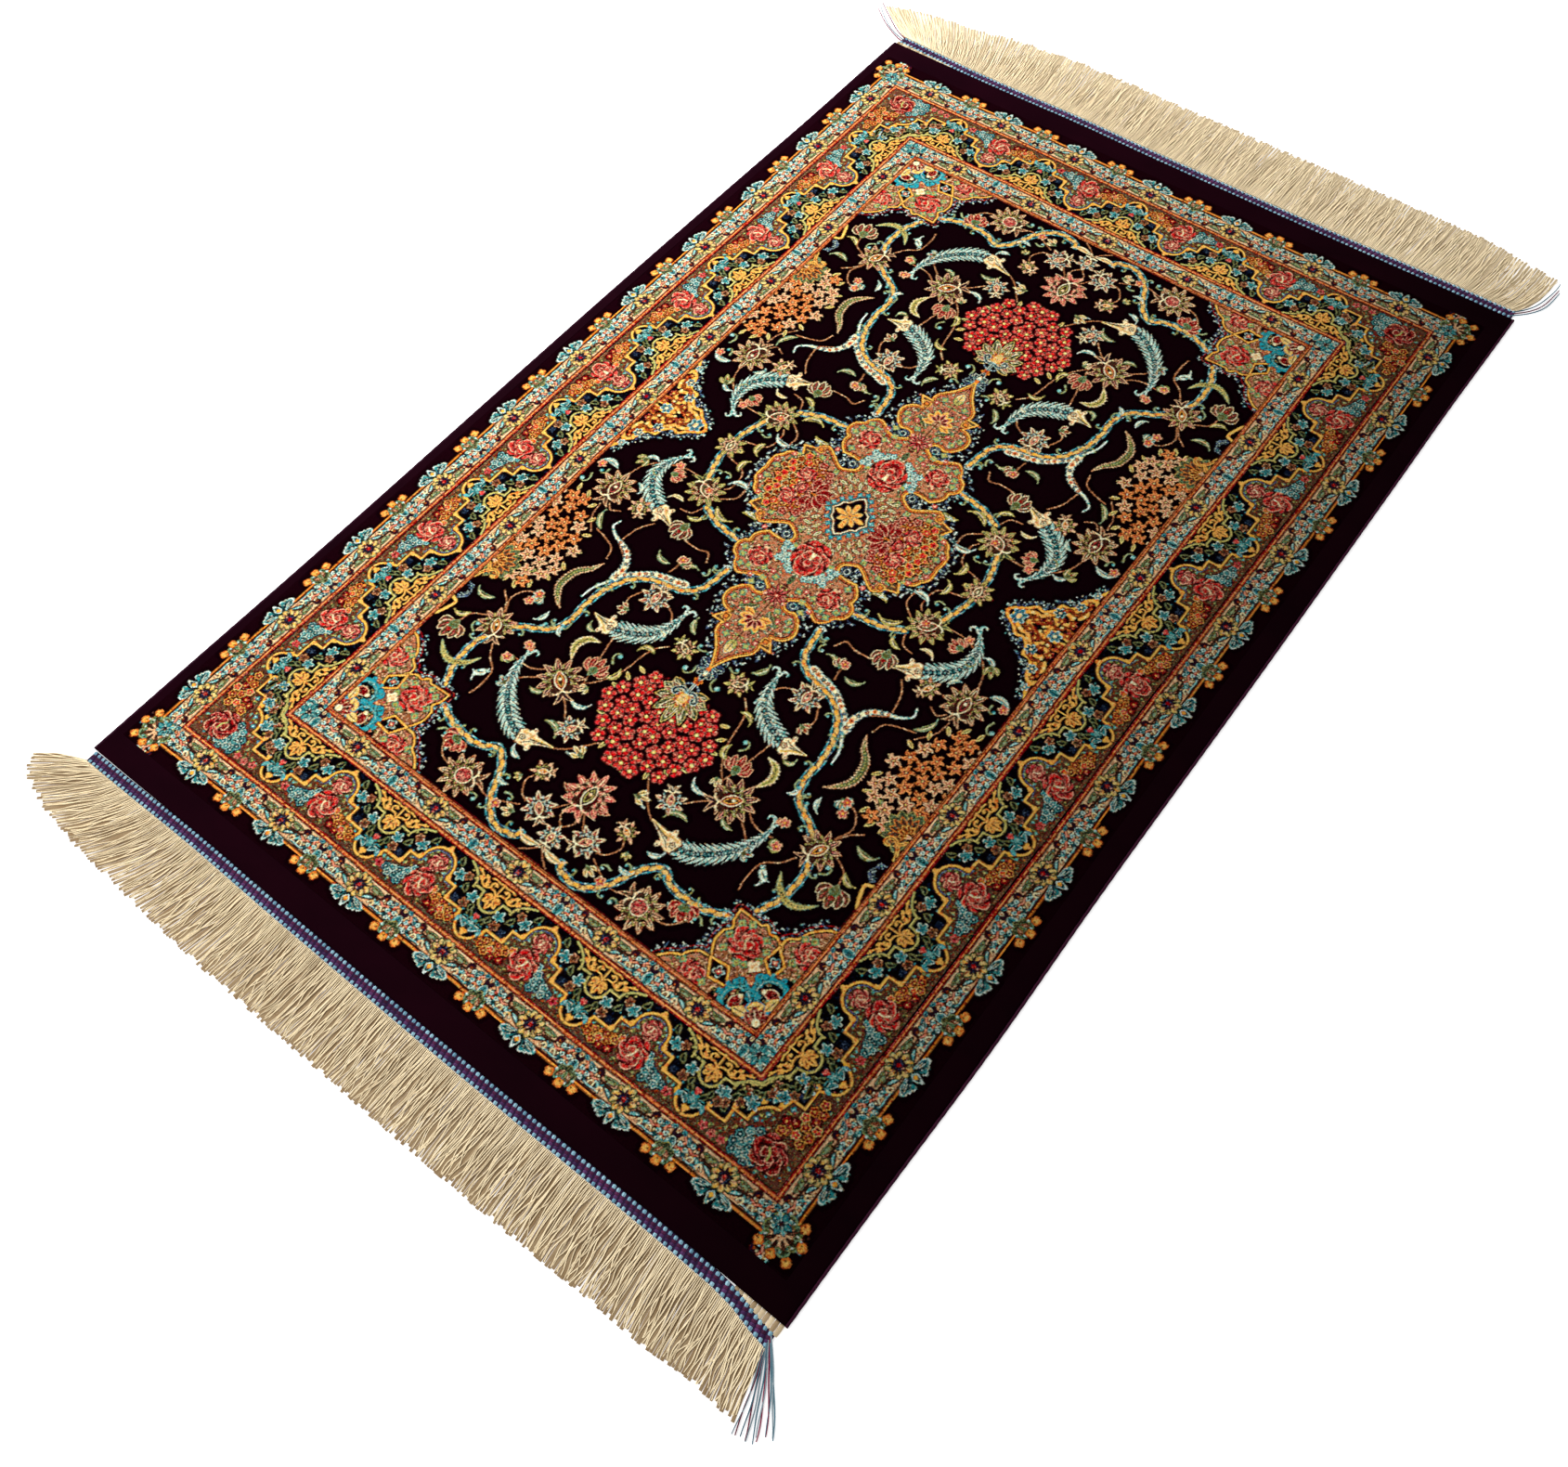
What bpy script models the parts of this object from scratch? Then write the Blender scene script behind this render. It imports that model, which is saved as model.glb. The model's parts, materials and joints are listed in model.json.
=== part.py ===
"""Persian rug: one flat knotted pile panel with overcast sides, twined end bands and cut fringes.

Metres, +Z up. The origin is the centre of the panel's underside, which lies on the floor at z = 0.
+Y runs along the rug towards its far end, +X across it.
"""
import bpy
import bmesh
import numpy as np

# Driving sizes of the panel
WIDTH = 0.800
LENGTH = 1.240
PILE_HEIGHT = 0.0032
PILE_UNEVENNESS = 0.00025
EDGE_ROUND = 0.0018
EDGE_HEIGHT = 0.0024
GAP = 0.0003
HALF_WIDTH = WIDTH / 2
HALF_LENGTH = LENGTH / 2
NEAR = -1
FAR = 1
LEFT = -1
RIGHT = 1

# Overcast sides, end bands and the cream warps that show where a band stands off the pile
SELVEDGE_WIDTH = 0.0024
SELVEDGE_HEIGHT = 0.0030
BAND_WIDTH = 0.0116
BAND_HEIGHT = 0.0024
BAND_REACH = 0.3955
WARP_HEIGHT = 0.0018

# Fringe: a narrow strip of warps with the locks fused to it
STRIP_WIDTH = 0.0022
FRINGE_HEIGHT = 0.0022
LOCKS_PER_END = 120
LOCK_SHORTENING = 0.13
LOCK_STRAY = 0.06

# Gentle bends of the outline, one row for each: place along the edge, spread, height outwards
SIDE_BENDS = {
    LEFT: ((-0.34, 0.16, -0.0012), (0.10, 0.20, 0.0014), (0.45, 0.09, -0.0010)),
    RIGHT: ((-0.36, 0.12, 0.0026), (0.06, 0.22, 0.0012), (0.47, 0.08, -0.0008)),
}
END_BENDS = {
    NEAR: ((-0.25, 0.060, -0.0010), (0.02, 0.16, 0.0009), (0.27, 0.08, -0.0008)),
    FAR: ((-0.137, 0.060, 0.0016), (0.11, 0.12, -0.0006), (0.30, 0.08, 0.0008)),
}

# How far each band is drawn off the pile's edge: place across the rug, distance
BAND_DRAW_OFF = {
    NEAR: ((-0.400, 0.0008), (-0.300, 0.0), (0.335, 0.0), (0.358, 0.0018), (0.380, 0.0066),
           (0.400, 0.0092)),
    FAR: ((-0.400, 0.0046), (-0.360, 0.0030), (-0.290, 0.0), (0.300, 0.0), (0.400, 0.0014)),
}

# Closed cross-sections of the strips: share of the width, share of the height
CORD_SECTION = ((0.15, 0.0), (0.85, 0.0), (1.0, 0.45), (0.8, 1.0), (0.2, 1.0), (0.0, 0.45))
BAND_SECTION = ((0.0, 0.0), (1.0, 0.0), (1.0, 0.6), (0.78, 1.0), (0.22, 1.0), (0.0, 0.6))
FLAT_SECTION = ((0.0, 0.0), (1.0, 0.0), (1.0, 1.0), (0.0, 1.0))

# Flow of the fringes. One row for each place across the rug: root, bend across, bend outwards,
# tip across, tip outwards; bend and tip are counted from the root
FRINGE_FLOW = {
    NEAR: ((-0.3955, -0.024, 0.006, -0.048, 0.024), (-0.380, -0.018, 0.014, -0.052, 0.040),
           (-0.350, -0.010, 0.022, -0.046, 0.052), (-0.300, -0.006, 0.028, -0.036, 0.060),
           (-0.240, -0.002, 0.032, -0.016, 0.064), (-0.160, 0.001, 0.032, -0.003, 0.066),
           (0.000, 0.001, 0.032, 0.000, 0.065), (0.180, -0.001, 0.032, 0.003, 0.064),
           (0.320, 0.002, 0.030, 0.007, 0.061), (0.3955, 0.004, 0.020, 0.012, 0.050)),
    FAR: ((-0.3955, -0.022, 0.010, -0.056, 0.036), (-0.375, -0.020, 0.018, -0.056, 0.048),
          (-0.345, -0.012, 0.026, -0.044, 0.058), (-0.300, -0.006, 0.034, -0.026, 0.067),
          (-0.262, -0.003, 0.040, -0.015, 0.080), (-0.180, 0.001, 0.042, -0.006, 0.086),
          (0.000, 0.001, 0.043, 0.000, 0.086), (0.180, 0.001, 0.043, 0.002, 0.086),
          (0.320, 0.004, 0.040, 0.006, 0.083), (0.3955, 0.018, 0.028, 0.015, 0.068)),
}

# Loose ends of the bands' own threads, at a band's left or right end. One row for each thread, from
# the fringe's side of the band to the pile's: bend x, bend y, tip x, tip y
THREAD_TUFTS = {
    "loose_threads_near": (NEAR, RIGHT, (
        (0.4080, -0.6640, 0.4165, -0.7020), (0.4115, -0.6610, 0.4215, -0.7030),
        (0.4150, -0.6570, 0.4265, -0.7000), (0.4185, -0.6520, 0.4310, -0.6940),
        (0.4220, -0.6460, 0.4345, -0.6885), (0.4260, -0.6400, 0.4390, -0.6840))),
    "loose_threads_far_left": (FAR, LEFT, (
        (-0.4160, 0.6400, -0.4580, 0.6772), (-0.4165, 0.6355, -0.4595, 0.6738),
        (-0.4150, 0.6310, -0.4600, 0.6700))),
    "loose_threads_far_right": (FAR, RIGHT, (
        (0.4190, 0.6560, 0.4135, 0.7020), (0.4225, 0.6540, 0.4180, 0.6990),
        (0.4260, 0.6510, 0.4220, 0.6930))),
}
TUFT_SHARE_OF_BAND = 0.85
THREAD_HEIGHT = 0.0014
THREAD_STRIP_WIDTH = 0.0016

# Counts of steps
PANEL_STEPS_ACROSS = 27
PANEL_STEPS_ALONG = 19
SIDE_STEPS = 28
BAND_STEPS = 40
WARP_STEPS = 8
LOCK_STATIONS = np.array([0.35, 0.70, 1.0])
LOCK_HALF_FILL = np.array([0.37, 0.34, 0.13])
LOCK_THINNING = np.array([1.0, 0.8, 0.45])
ROOT_HALF_FILL = 0.37
THREAD_STATIONS = np.array([0.3, 0.6, 0.85, 1.0])
THREAD_HALF_FILL = np.array([0.26, 0.24, 0.22, 0.14])
THREAD_THINNING = np.array([1.0, 0.95, 0.9, 0.6])

COLOURS = {
    "pile": (0.035, 0.006, 0.014),
    "selvedge": (0.110, 0.020, 0.060),
    "band": (0.120, 0.100, 0.220),
    "warp": (0.640, 0.530, 0.370),
    "fringe": (0.640, 0.530, 0.370),
    "loose_thread": (0.230, 0.260, 0.340),
}
ROUGHNESS = {
    "pile": 0.62,
    "selvedge": 0.60,
    "band": 0.55,
    "warp": 0.60,
    "fringe": 0.58,
    "loose_thread": 0.55,
}


def clear_scene():
    """Remove every object that the file opened with."""
    for item in list(bpy.data.objects):
        bpy.data.objects.remove(item, do_unlink=True)


def thread_material(slot):
    """Principled material of one kind of silk thread."""
    material = bpy.data.materials.new(slot)
    material.use_nodes = True
    shader = material.node_tree.nodes["Principled BSDF"]
    shader.inputs["Base Color"].default_value = (*COLOURS[slot], 1.0)
    shader.inputs["Roughness"].default_value = ROUGHNESS[slot]
    shader.inputs["Metallic"].default_value = 0.0
    material.diffuse_color = (*COLOURS[slot], 1.0)
    return material


def add_piece(name, points, faces, material):
    """One named object from points and faces, with its faces turned outwards."""
    mesh = bpy.data.meshes.new(name)
    mesh.from_pydata(points.tolist(), [], faces)
    work = bmesh.new()
    work.from_mesh(mesh)
    bmesh.ops.recalc_face_normals(work, faces=work.faces)
    work.to_mesh(mesh)
    work.free()
    mesh.materials.append(material)
    piece = bpy.data.objects.new(name, mesh)
    bpy.context.scene.collection.objects.link(piece)
    return piece


def bends(places, rows):
    """Sum of soft bumps, one for each row of place, spread and height."""
    return sum(height * np.exp(-((places - centre) / spread) ** 2) for centre, spread, height in rows)


def side_edge(side, y):
    """x of the rug's outermost edge at y: a straight side with its gentle bends."""
    return side * (HALF_WIDTH + bends(y, SIDE_BENDS[side]))


def end_edge(end, x):
    """y of the pile's edge at x, at the near or far end."""
    return end * (HALF_LENGTH + bends(x, END_BENDS[end]))


def band_inner_edge(end, x):
    """y of the band's edge next to the pile: the pile's edge, a gap, and what it is drawn off."""
    table = np.array(BAND_DRAW_OFF[end])
    drawn_off = np.interp(x, table[:, 0], table[:, 1])
    return end_edge(end, x) + end * (GAP + drawn_off)


def band_outer_edge(end, x):
    """y of the band's edge next to the fringe."""
    return band_inner_edge(end, x) + end * BAND_WIDTH


def pile_panel(material):
    """The knotted panel: a flat underside and a nearly flat top, rounded down at its rim.

    Both faces are the same grid. The top is PILE_HEIGHT plus two low waves, and its rim lies at
    EDGE_HEIGHT, one narrow step of EDGE_ROUND outside the first inner line.
    """
    across = np.linspace(EDGE_ROUND / WIDTH, 1 - EDGE_ROUND / WIDTH, PANEL_STEPS_ACROSS)
    along = np.linspace(EDGE_ROUND / LENGTH, 1 - EDGE_ROUND / LENGTH, PANEL_STEPS_ALONG)
    across = np.concatenate([[0.0], across, [1.0]])
    along = np.concatenate([[0.0], along, [1.0]])
    share_x, share_y = np.meshgrid(across, along, indexing="ij")
    straight_y = (share_y - 0.5) * LENGTH
    inset = SELVEDGE_WIDTH + GAP
    left = side_edge(LEFT, straight_y) + inset
    right = side_edge(RIGHT, straight_y) - inset
    x = left + (right - left) * share_x
    y = end_edge(NEAR, x) + (end_edge(FAR, x) - end_edge(NEAR, x)) * share_y
    waves = np.sin(9.0 * x + 3.0 * y) + np.sin(7.0 * y - 4.0 * x + 1.0)
    top = PILE_HEIGHT + PILE_UNEVENNESS * waves / 2
    rim = np.ones_like(top, dtype=bool)
    rim[1:-1, 1:-1] = False
    top[rim] = EDGE_HEIGHT
    count_x, count_y = x.shape
    upper = np.stack([x, y, top], -1).reshape(-1, 3)
    lower = np.stack([x, y, np.zeros_like(x)], -1).reshape(-1, 3)
    number = np.arange(count_x * count_y).reshape(count_x, count_y)
    quads = np.stack([number[:-1, :-1], number[1:, :-1], number[1:, 1:], number[:-1, 1:]], -1)
    quads = quads.reshape(-1, 4)
    loop = np.concatenate([number[:, 0], number[-1, 1:], number[-2::-1, -1], number[0, -2:0:-1]])
    ahead = np.roll(loop, -1)
    shift = count_x * count_y
    walls = np.stack([loop, ahead, ahead + shift, loop + shift], -1)
    faces = np.concatenate([quads, quads[:, ::-1] + shift, walls]).tolist()
    return add_piece("rug_pile", np.concatenate([upper, lower]), faces, material)


def lofted_strip(name, inner, outer, section, height, material):
    """A closed strip between two edge lines, each an array of x, y rows.

    At each row the section's points lie at inner + (outer - inner) * share of the width, at the
    section's share of the height. Neighbouring rings are joined and both ends are capped.
    """
    profile = np.array(section)
    share = profile[None, :, 0, None]
    flat = inner[:, None, :] + (outer - inner)[:, None, :] * share
    rise = np.broadcast_to(profile[None, :, 1, None] * height, flat.shape[:2] + (1,))
    points = np.concatenate([flat, rise], -1)
    rings, corners = points.shape[:2]
    number = np.arange(rings * corners).reshape(rings, corners)
    beside = np.roll(number, -1, axis=1)
    walls = np.stack([number[:-1], beside[:-1], beside[1:], number[1:]], -1).reshape(-1, 4)
    faces = walls.tolist() + [number[0].tolist(), number[-1].tolist()]
    return add_piece(name, points.reshape(-1, 3), faces, material)


def selvedge(name, side, material):
    """The overcast cord along one side, from end to end of the pile."""
    y = np.linspace(-HALF_LENGTH, HALF_LENGTH, SIDE_STEPS + 1)
    outer_x = side_edge(side, y)
    outer = np.stack([outer_x, y], -1)
    inner = np.stack([outer_x - side * SELVEDGE_WIDTH, y], -1)
    return lofted_strip(name, inner, outer, CORD_SECTION, SELVEDGE_HEIGHT, material)


def end_band(name, end, material):
    """The twined band across one end, drawn off the pile's edge at its loose corner."""
    x = np.linspace(-BAND_REACH, BAND_REACH, BAND_STEPS + 1)
    inner = np.stack([x, band_inner_edge(end, x)], -1)
    outer = np.stack([x, band_outer_edge(end, x)], -1)
    return lofted_strip(name, inner, outer, BAND_SECTION, BAND_HEIGHT, material)


def bare_warps(name, end, start, stop, material):
    """The wedge of bunched warps between the pile's edge and a band that stands off it."""
    x = np.linspace(start, stop, WARP_STEPS + 1)
    inner = np.stack([x, end_edge(end, x) + end * GAP], -1)
    outer = np.stack([x, band_inner_edge(end, x) - end * GAP], -1)
    return lofted_strip(name, inner, outer, FLAT_SECTION, WARP_HEIGHT, material)


def fused_locks(name, roots, backs, flow, stations, lock, material):
    """A narrow backing strip with locks growing out of its outer face, as one closed body.

    roots and backs give the strip's outer and inner edge for a share along it, and flow gives the
    point at a share along the strip and a share of the way to the tips. A lock's two edges are
    flow lines either side of its middle, so that neighbours never cross; its underside is at z = 0
    all the way, and its top falls from the strip's height by lock's thinning.
    """
    middles, reach, stray, half_fill, thinning, height = lock
    count = len(middles)
    pitch = 1.0 / count
    columns = np.stack([middles - ROOT_HALF_FILL * pitch, middles + ROOT_HALF_FILL * pitch], -1)
    columns = np.concatenate([[0.0], columns.ravel(), [1.0]])
    edge = [(backs(columns), 0.0), (backs(columns), height), (roots(columns), 0.0),
            (roots(columns), height)]
    strip = np.stack([np.column_stack([line, np.full(len(columns), z)]) for line, z in edge], 1)
    number = np.arange(len(columns) * 4).reshape(-1, 4)
    here, after = number[:-1], number[1:]
    faces = []
    for first, second in ((0, 1), (0, 2), (1, 3)):
        ring = [here[:, first], here[:, second], after[:, second], after[:, first]]
        faces += np.stack(ring, -1).tolist()
    gaps = slice(0, None, 2)
    faces += np.stack([here[gaps, 2], here[gaps, 3], after[gaps, 3], after[gaps, 2]], -1).tolist()
    faces += [number[0, [0, 1, 3, 2]].tolist(), number[-1, [0, 1, 3, 2]].tolist()]

    way = stations[None, :] * reach[:, None]
    centre = middles[:, None] + stray[:, None] * stations[None, :] * pitch
    sides = [flow(centre + sign * half_fill[None, :] * pitch, way) for sign in (-1, 1)]
    tops = np.broadcast_to(height * thinning, way.shape)[..., None]
    floor = np.zeros_like(tops)
    corners = [np.concatenate([side, z], -1) for side in sides for z in (floor, tops)]
    body = np.stack(corners, 2)
    root = np.concatenate([number[1:-1:2, 2:], number[2:-1:2, 2:]], 1)
    own = np.arange(body[..., 0].size).reshape(body.shape[:3]) + strip[..., 0].size
    rings = np.concatenate([root[:, None, :], own], 1)
    for first, second in ((0, 1), (1, 3), (3, 2), (2, 0)):
        ring = [rings[:, :-1, first], rings[:, :-1, second], rings[:, 1:, second], rings[:, 1:, first]]
        faces += np.stack(ring, -1).reshape(-1, 4).tolist()
    faces += rings[:, -1, [0, 1, 3, 2]].tolist()
    points = np.concatenate([strip.reshape(-1, 3), body.reshape(-1, 3)])
    return add_piece(name, points, faces, material)


def bezier(root, bend, tip, way):
    """Quadratic curve from root to tip, drawn towards bend, at each share of the way."""
    share = way[..., None]
    return root * (1 - share) ** 2 + bend * 2 * share * (1 - share) + tip * share ** 2


def end_fringe(name, end, material):
    """The fringe of one end: its locks follow the fan that FRINGE_FLOW gives across the rug."""
    table = np.array(FRINGE_FLOW[end])

    def place(share):
        """x at a share of the band's length."""
        return BAND_REACH * (2 * share - 1)

    def back_line(share):
        """The strip's edge beside the band."""
        x = place(share)
        return np.stack([x, band_outer_edge(end, x) + end * GAP], -1)

    def root_line(share):
        """The strip's edge where the locks grow out."""
        return back_line(share) + np.array([0.0, end * STRIP_WIDTH])

    def flow(share, way):
        """Point at a share across the rug and a share of the way to the tips."""
        x = place(share)
        column = [np.interp(x, table[:, 0], table[:, k]) for k in range(1, 5)]
        root = root_line(share)
        bend = root + np.stack([column[0], end * column[1]], -1)
        tip = root + np.stack([column[2], end * column[3]], -1)
        return bezier(root, bend, tip, way)

    chance = np.random.default_rng(11 if end == NEAR else 12)
    middles = (np.arange(LOCKS_PER_END) + 0.5) / LOCKS_PER_END
    reach = 1 - LOCK_SHORTENING * chance.random(LOCKS_PER_END)
    stray = LOCK_STRAY * chance.uniform(-1, 1, LOCKS_PER_END)
    lock = (middles, reach, stray, LOCK_HALF_FILL, LOCK_THINNING, FRINGE_HEIGHT)
    return fused_locks(name, root_line, back_line, flow, LOCK_STATIONS, lock, material)


def thread_tuft(name, material):
    """Loose ends of the band's own threads, fused in a small block at the band's end."""
    end, side, rows = THREAD_TUFTS[name]
    table = np.array(rows)
    count = len(table)
    middles = (np.arange(count) + 0.5) / count
    band_end = side * BAND_REACH
    first = np.array([band_end + side * GAP, band_outer_edge(end, band_end)])
    last = first - np.array([0.0, end * BAND_WIDTH * TUFT_SHARE_OF_BAND])
    outwards = np.array([side, 0.0])

    def back_line(share):
        """The block's edge beside the band."""
        return first + (last - first) * share[..., None]

    def root_line(share):
        """The block's edge where the threads grow out."""
        return back_line(share) + outwards * THREAD_STRIP_WIDTH

    def flow(share, way):
        """Point at a share along the block and a share of the way to the tips."""
        column = [np.interp(share, middles, table[:, k]) for k in range(4)]
        spread = (share - np.clip(share, middles[0], middles[-1]))[..., None] * (last - first)
        bend = np.stack(column[:2], -1) + spread
        tip = np.stack(column[2:], -1) + spread
        return bezier(root_line(share), bend, tip, way)

    lock = (middles, np.ones(count), np.zeros(count), THREAD_HALF_FILL, THREAD_THINNING, THREAD_HEIGHT)
    return fused_locks(name, root_line, back_line, flow, THREAD_STATIONS, lock, material)


def build_rug():
    """Every piece of the rug in its place."""
    clear_scene()
    materials = {slot: thread_material(slot) for slot in COLOURS}
    pile_panel(materials["pile"])
    selvedge("selvedge_left", LEFT, materials["selvedge"])
    selvedge("selvedge_right", RIGHT, materials["selvedge"])
    end_band("band_near", NEAR, materials["band"])
    end_band("band_far", FAR, materials["band"])
    bare_warps("bare_warps_near", NEAR, 0.352, 0.3955, materials["warp"])
    bare_warps("bare_warps_far", FAR, -0.3955, -0.318, materials["warp"])
    end_fringe("fringe_near", NEAR, materials["fringe"])
    end_fringe("fringe_far", FAR, materials["fringe"])
    for name in THREAD_TUFTS:
        thread_tuft(name, materials["loose_thread"])


build_rug()
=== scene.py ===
import json
import bpy
import numpy as np
from mathutils import Matrix, Vector

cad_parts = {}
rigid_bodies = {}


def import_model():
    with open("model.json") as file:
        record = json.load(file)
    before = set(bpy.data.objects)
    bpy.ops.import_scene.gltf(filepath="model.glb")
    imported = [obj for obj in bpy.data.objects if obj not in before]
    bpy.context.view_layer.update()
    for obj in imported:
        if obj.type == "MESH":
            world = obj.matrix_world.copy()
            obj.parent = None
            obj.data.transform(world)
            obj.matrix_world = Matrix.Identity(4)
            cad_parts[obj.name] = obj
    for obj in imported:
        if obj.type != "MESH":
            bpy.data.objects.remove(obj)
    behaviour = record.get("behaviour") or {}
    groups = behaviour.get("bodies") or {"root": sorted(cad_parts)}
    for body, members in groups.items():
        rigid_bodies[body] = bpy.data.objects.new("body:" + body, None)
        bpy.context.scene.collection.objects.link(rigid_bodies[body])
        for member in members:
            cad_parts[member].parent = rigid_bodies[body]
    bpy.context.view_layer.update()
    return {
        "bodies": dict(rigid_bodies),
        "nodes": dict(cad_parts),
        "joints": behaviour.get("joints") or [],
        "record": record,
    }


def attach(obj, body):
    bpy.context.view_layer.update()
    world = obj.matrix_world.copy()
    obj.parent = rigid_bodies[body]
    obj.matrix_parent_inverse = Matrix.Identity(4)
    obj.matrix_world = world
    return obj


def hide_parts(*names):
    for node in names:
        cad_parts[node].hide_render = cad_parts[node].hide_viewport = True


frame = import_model()

# A knotted silk rug, 0.80 by 1.24 m, lying flat. Metres, +Z up; +Y runs along it to its far end and
# +X across it; the origin is the middle of its underside. Its colours are knotted: a chart of one
# quarter of the traditional medallion design is drawn below, and read by the knots of the pile.

# Sizes of the woven panel and its trimmings, the same as the solids have
WIDTH = 0.800
LENGTH = 1.240
PILE_HEIGHT = 0.0032
PILE_UNEVENNESS = 0.00025
EDGE_ROUND = 0.0018
EDGE_HEIGHT = 0.0024
GAP = 0.0003
HALF_WIDTH = WIDTH / 2
HALF_LENGTH = LENGTH / 2
NEAR = -1
FAR = 1
LEFT = -1
RIGHT = 1
SELVEDGE_WIDTH = 0.0024
SELVEDGE_HEIGHT = 0.0030
BAND_WIDTH = 0.0116
BAND_REACH = 0.3955

# Gentle bends of the outline, one row for each: place along the edge, spread, height outwards
SIDE_BENDS = {
    LEFT: ((-0.34, 0.16, -0.0012), (0.10, 0.20, 0.0014), (0.45, 0.09, -0.0010)),
    RIGHT: ((-0.36, 0.12, 0.0026), (0.06, 0.22, 0.0012), (0.47, 0.08, -0.0008)),
}
END_BENDS = {
    NEAR: ((-0.25, 0.060, -0.0010), (0.02, 0.16, 0.0009), (0.27, 0.08, -0.0008)),
    FAR: ((-0.137, 0.060, 0.0016), (0.11, 0.12, -0.0006), (0.30, 0.08, 0.0008)),
}

# How far each band is drawn off the pile's edge: place across the rug, distance
BAND_DRAW_OFF = {
    NEAR: ((-0.400, 0.0008), (-0.300, 0.0), (0.335, 0.0), (0.358, 0.0018), (0.380, 0.0066),
           (0.400, 0.0092)),
    FAR: ((-0.400, 0.0046), (-0.360, 0.0030), (-0.290, 0.0), (0.300, 0.0), (0.400, 0.0014)),
}

# Flow of the fringes. One row for each place across the rug: root, bend across, bend outwards,
# tip across, tip outwards; bend and tip are counted from the root
FRINGE_FLOW = {
    NEAR: ((-0.3955, -0.024, 0.006, -0.048, 0.024), (-0.380, -0.018, 0.014, -0.052, 0.040),
           (-0.350, -0.010, 0.022, -0.046, 0.052), (-0.300, -0.006, 0.028, -0.036, 0.060),
           (-0.240, -0.002, 0.032, -0.016, 0.064), (-0.160, 0.001, 0.032, -0.003, 0.066),
           (0.000, 0.001, 0.032, 0.000, 0.065), (0.180, -0.001, 0.032, 0.003, 0.064),
           (0.320, 0.002, 0.030, 0.007, 0.061), (0.3955, 0.004, 0.020, 0.012, 0.050)),
    FAR: ((-0.3955, -0.022, 0.010, -0.056, 0.036), (-0.375, -0.020, 0.018, -0.056, 0.048),
          (-0.345, -0.012, 0.026, -0.044, 0.058), (-0.300, -0.006, 0.034, -0.026, 0.067),
          (-0.262, -0.003, 0.040, -0.015, 0.080), (-0.180, 0.001, 0.042, -0.006, 0.086),
          (0.000, 0.001, 0.043, 0.000, 0.086), (0.180, 0.001, 0.043, 0.002, 0.086),
          (0.320, 0.004, 0.040, 0.006, 0.083), (0.3955, 0.018, 0.028, 0.015, 0.068)),
}

# Loose ends of the bands' own threads. One row for each thread, from the fringe's side of the band
# to the pile's: bend x, bend y, tip x, tip y
THREAD_TUFTS = {
    "loose_threads_near": (NEAR, RIGHT, (
        (0.4060, -0.6660, 0.4140, -0.7010), (0.4080, -0.6650, 0.4200, -0.7030),
        (0.4105, -0.6630, 0.4250, -0.7000), (0.4130, -0.6610, 0.4290, -0.6950),
        (0.4150, -0.6585, 0.4330, -0.6890), (0.4175, -0.6560, 0.4375, -0.6850))),
    "loose_threads_far_left": (FAR, LEFT, (
        (-0.4160, 0.6400, -0.4580, 0.6772), (-0.4165, 0.6355, -0.4595, 0.6738),
        (-0.4150, 0.6310, -0.4600, 0.6700))),
    "loose_threads_far_right": (FAR, RIGHT, (
        (0.4190, 0.6560, 0.4135, 0.7020), (0.4225, 0.6540, 0.4180, 0.6990),
        (0.4260, 0.6510, 0.4220, 0.6930))),
}


def bends(places, rows):
    """Sum of soft bumps, one for each row of place, spread and height."""
    return sum(height * np.exp(-((places - centre) / spread) ** 2) for centre, spread, height in rows)


def side_edge(side, y):
    """x of the rug's outermost edge at y."""
    return side * (HALF_WIDTH + bends(y, SIDE_BENDS[side]))


def end_edge(end, x):
    """y of the pile's edge at x, at the near or far end."""
    return end * (HALF_LENGTH + bends(x, END_BENDS[end]))


def band_inner_edge(end, x):
    """y of the band's edge next to the pile: the pile's edge, a gap, and what it is drawn off."""
    table = np.array(BAND_DRAW_OFF[end])
    return end_edge(end, x) + end * (GAP + np.interp(x, table[:, 0], table[:, 1]))


def band_outer_edge(end, x):
    """y of the band's edge next to the fringe."""
    return band_inner_edge(end, x) + end * BAND_WIDTH


def pile_top(x, y):
    """z of the clipped pile: its height and two low waves."""
    waves = np.sin(9.0 * x + 3.0 * y) + np.sin(7.0 * y - 4.0 * x + 1.0)
    return PILE_HEIGHT + PILE_UNEVENNESS * waves / 2


def bezier(root, bend, tip, way):
    """Quadratic curve from root to tip, drawn towards bend, at each share of the way."""
    share = way[..., None]
    return root * (1 - share) ** 2 + bend * 2 * share * (1 - share) + tip * share ** 2


# The knotting chart. Sizes are in millimetres from the middle of the pattern; points are complex
# numbers, across the rug + 1j * along it. One quarter is drawn, and the rug mirrors it four ways.
KNOT = 0.375
CHART_HALF = (384.0, 594.0)

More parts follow.
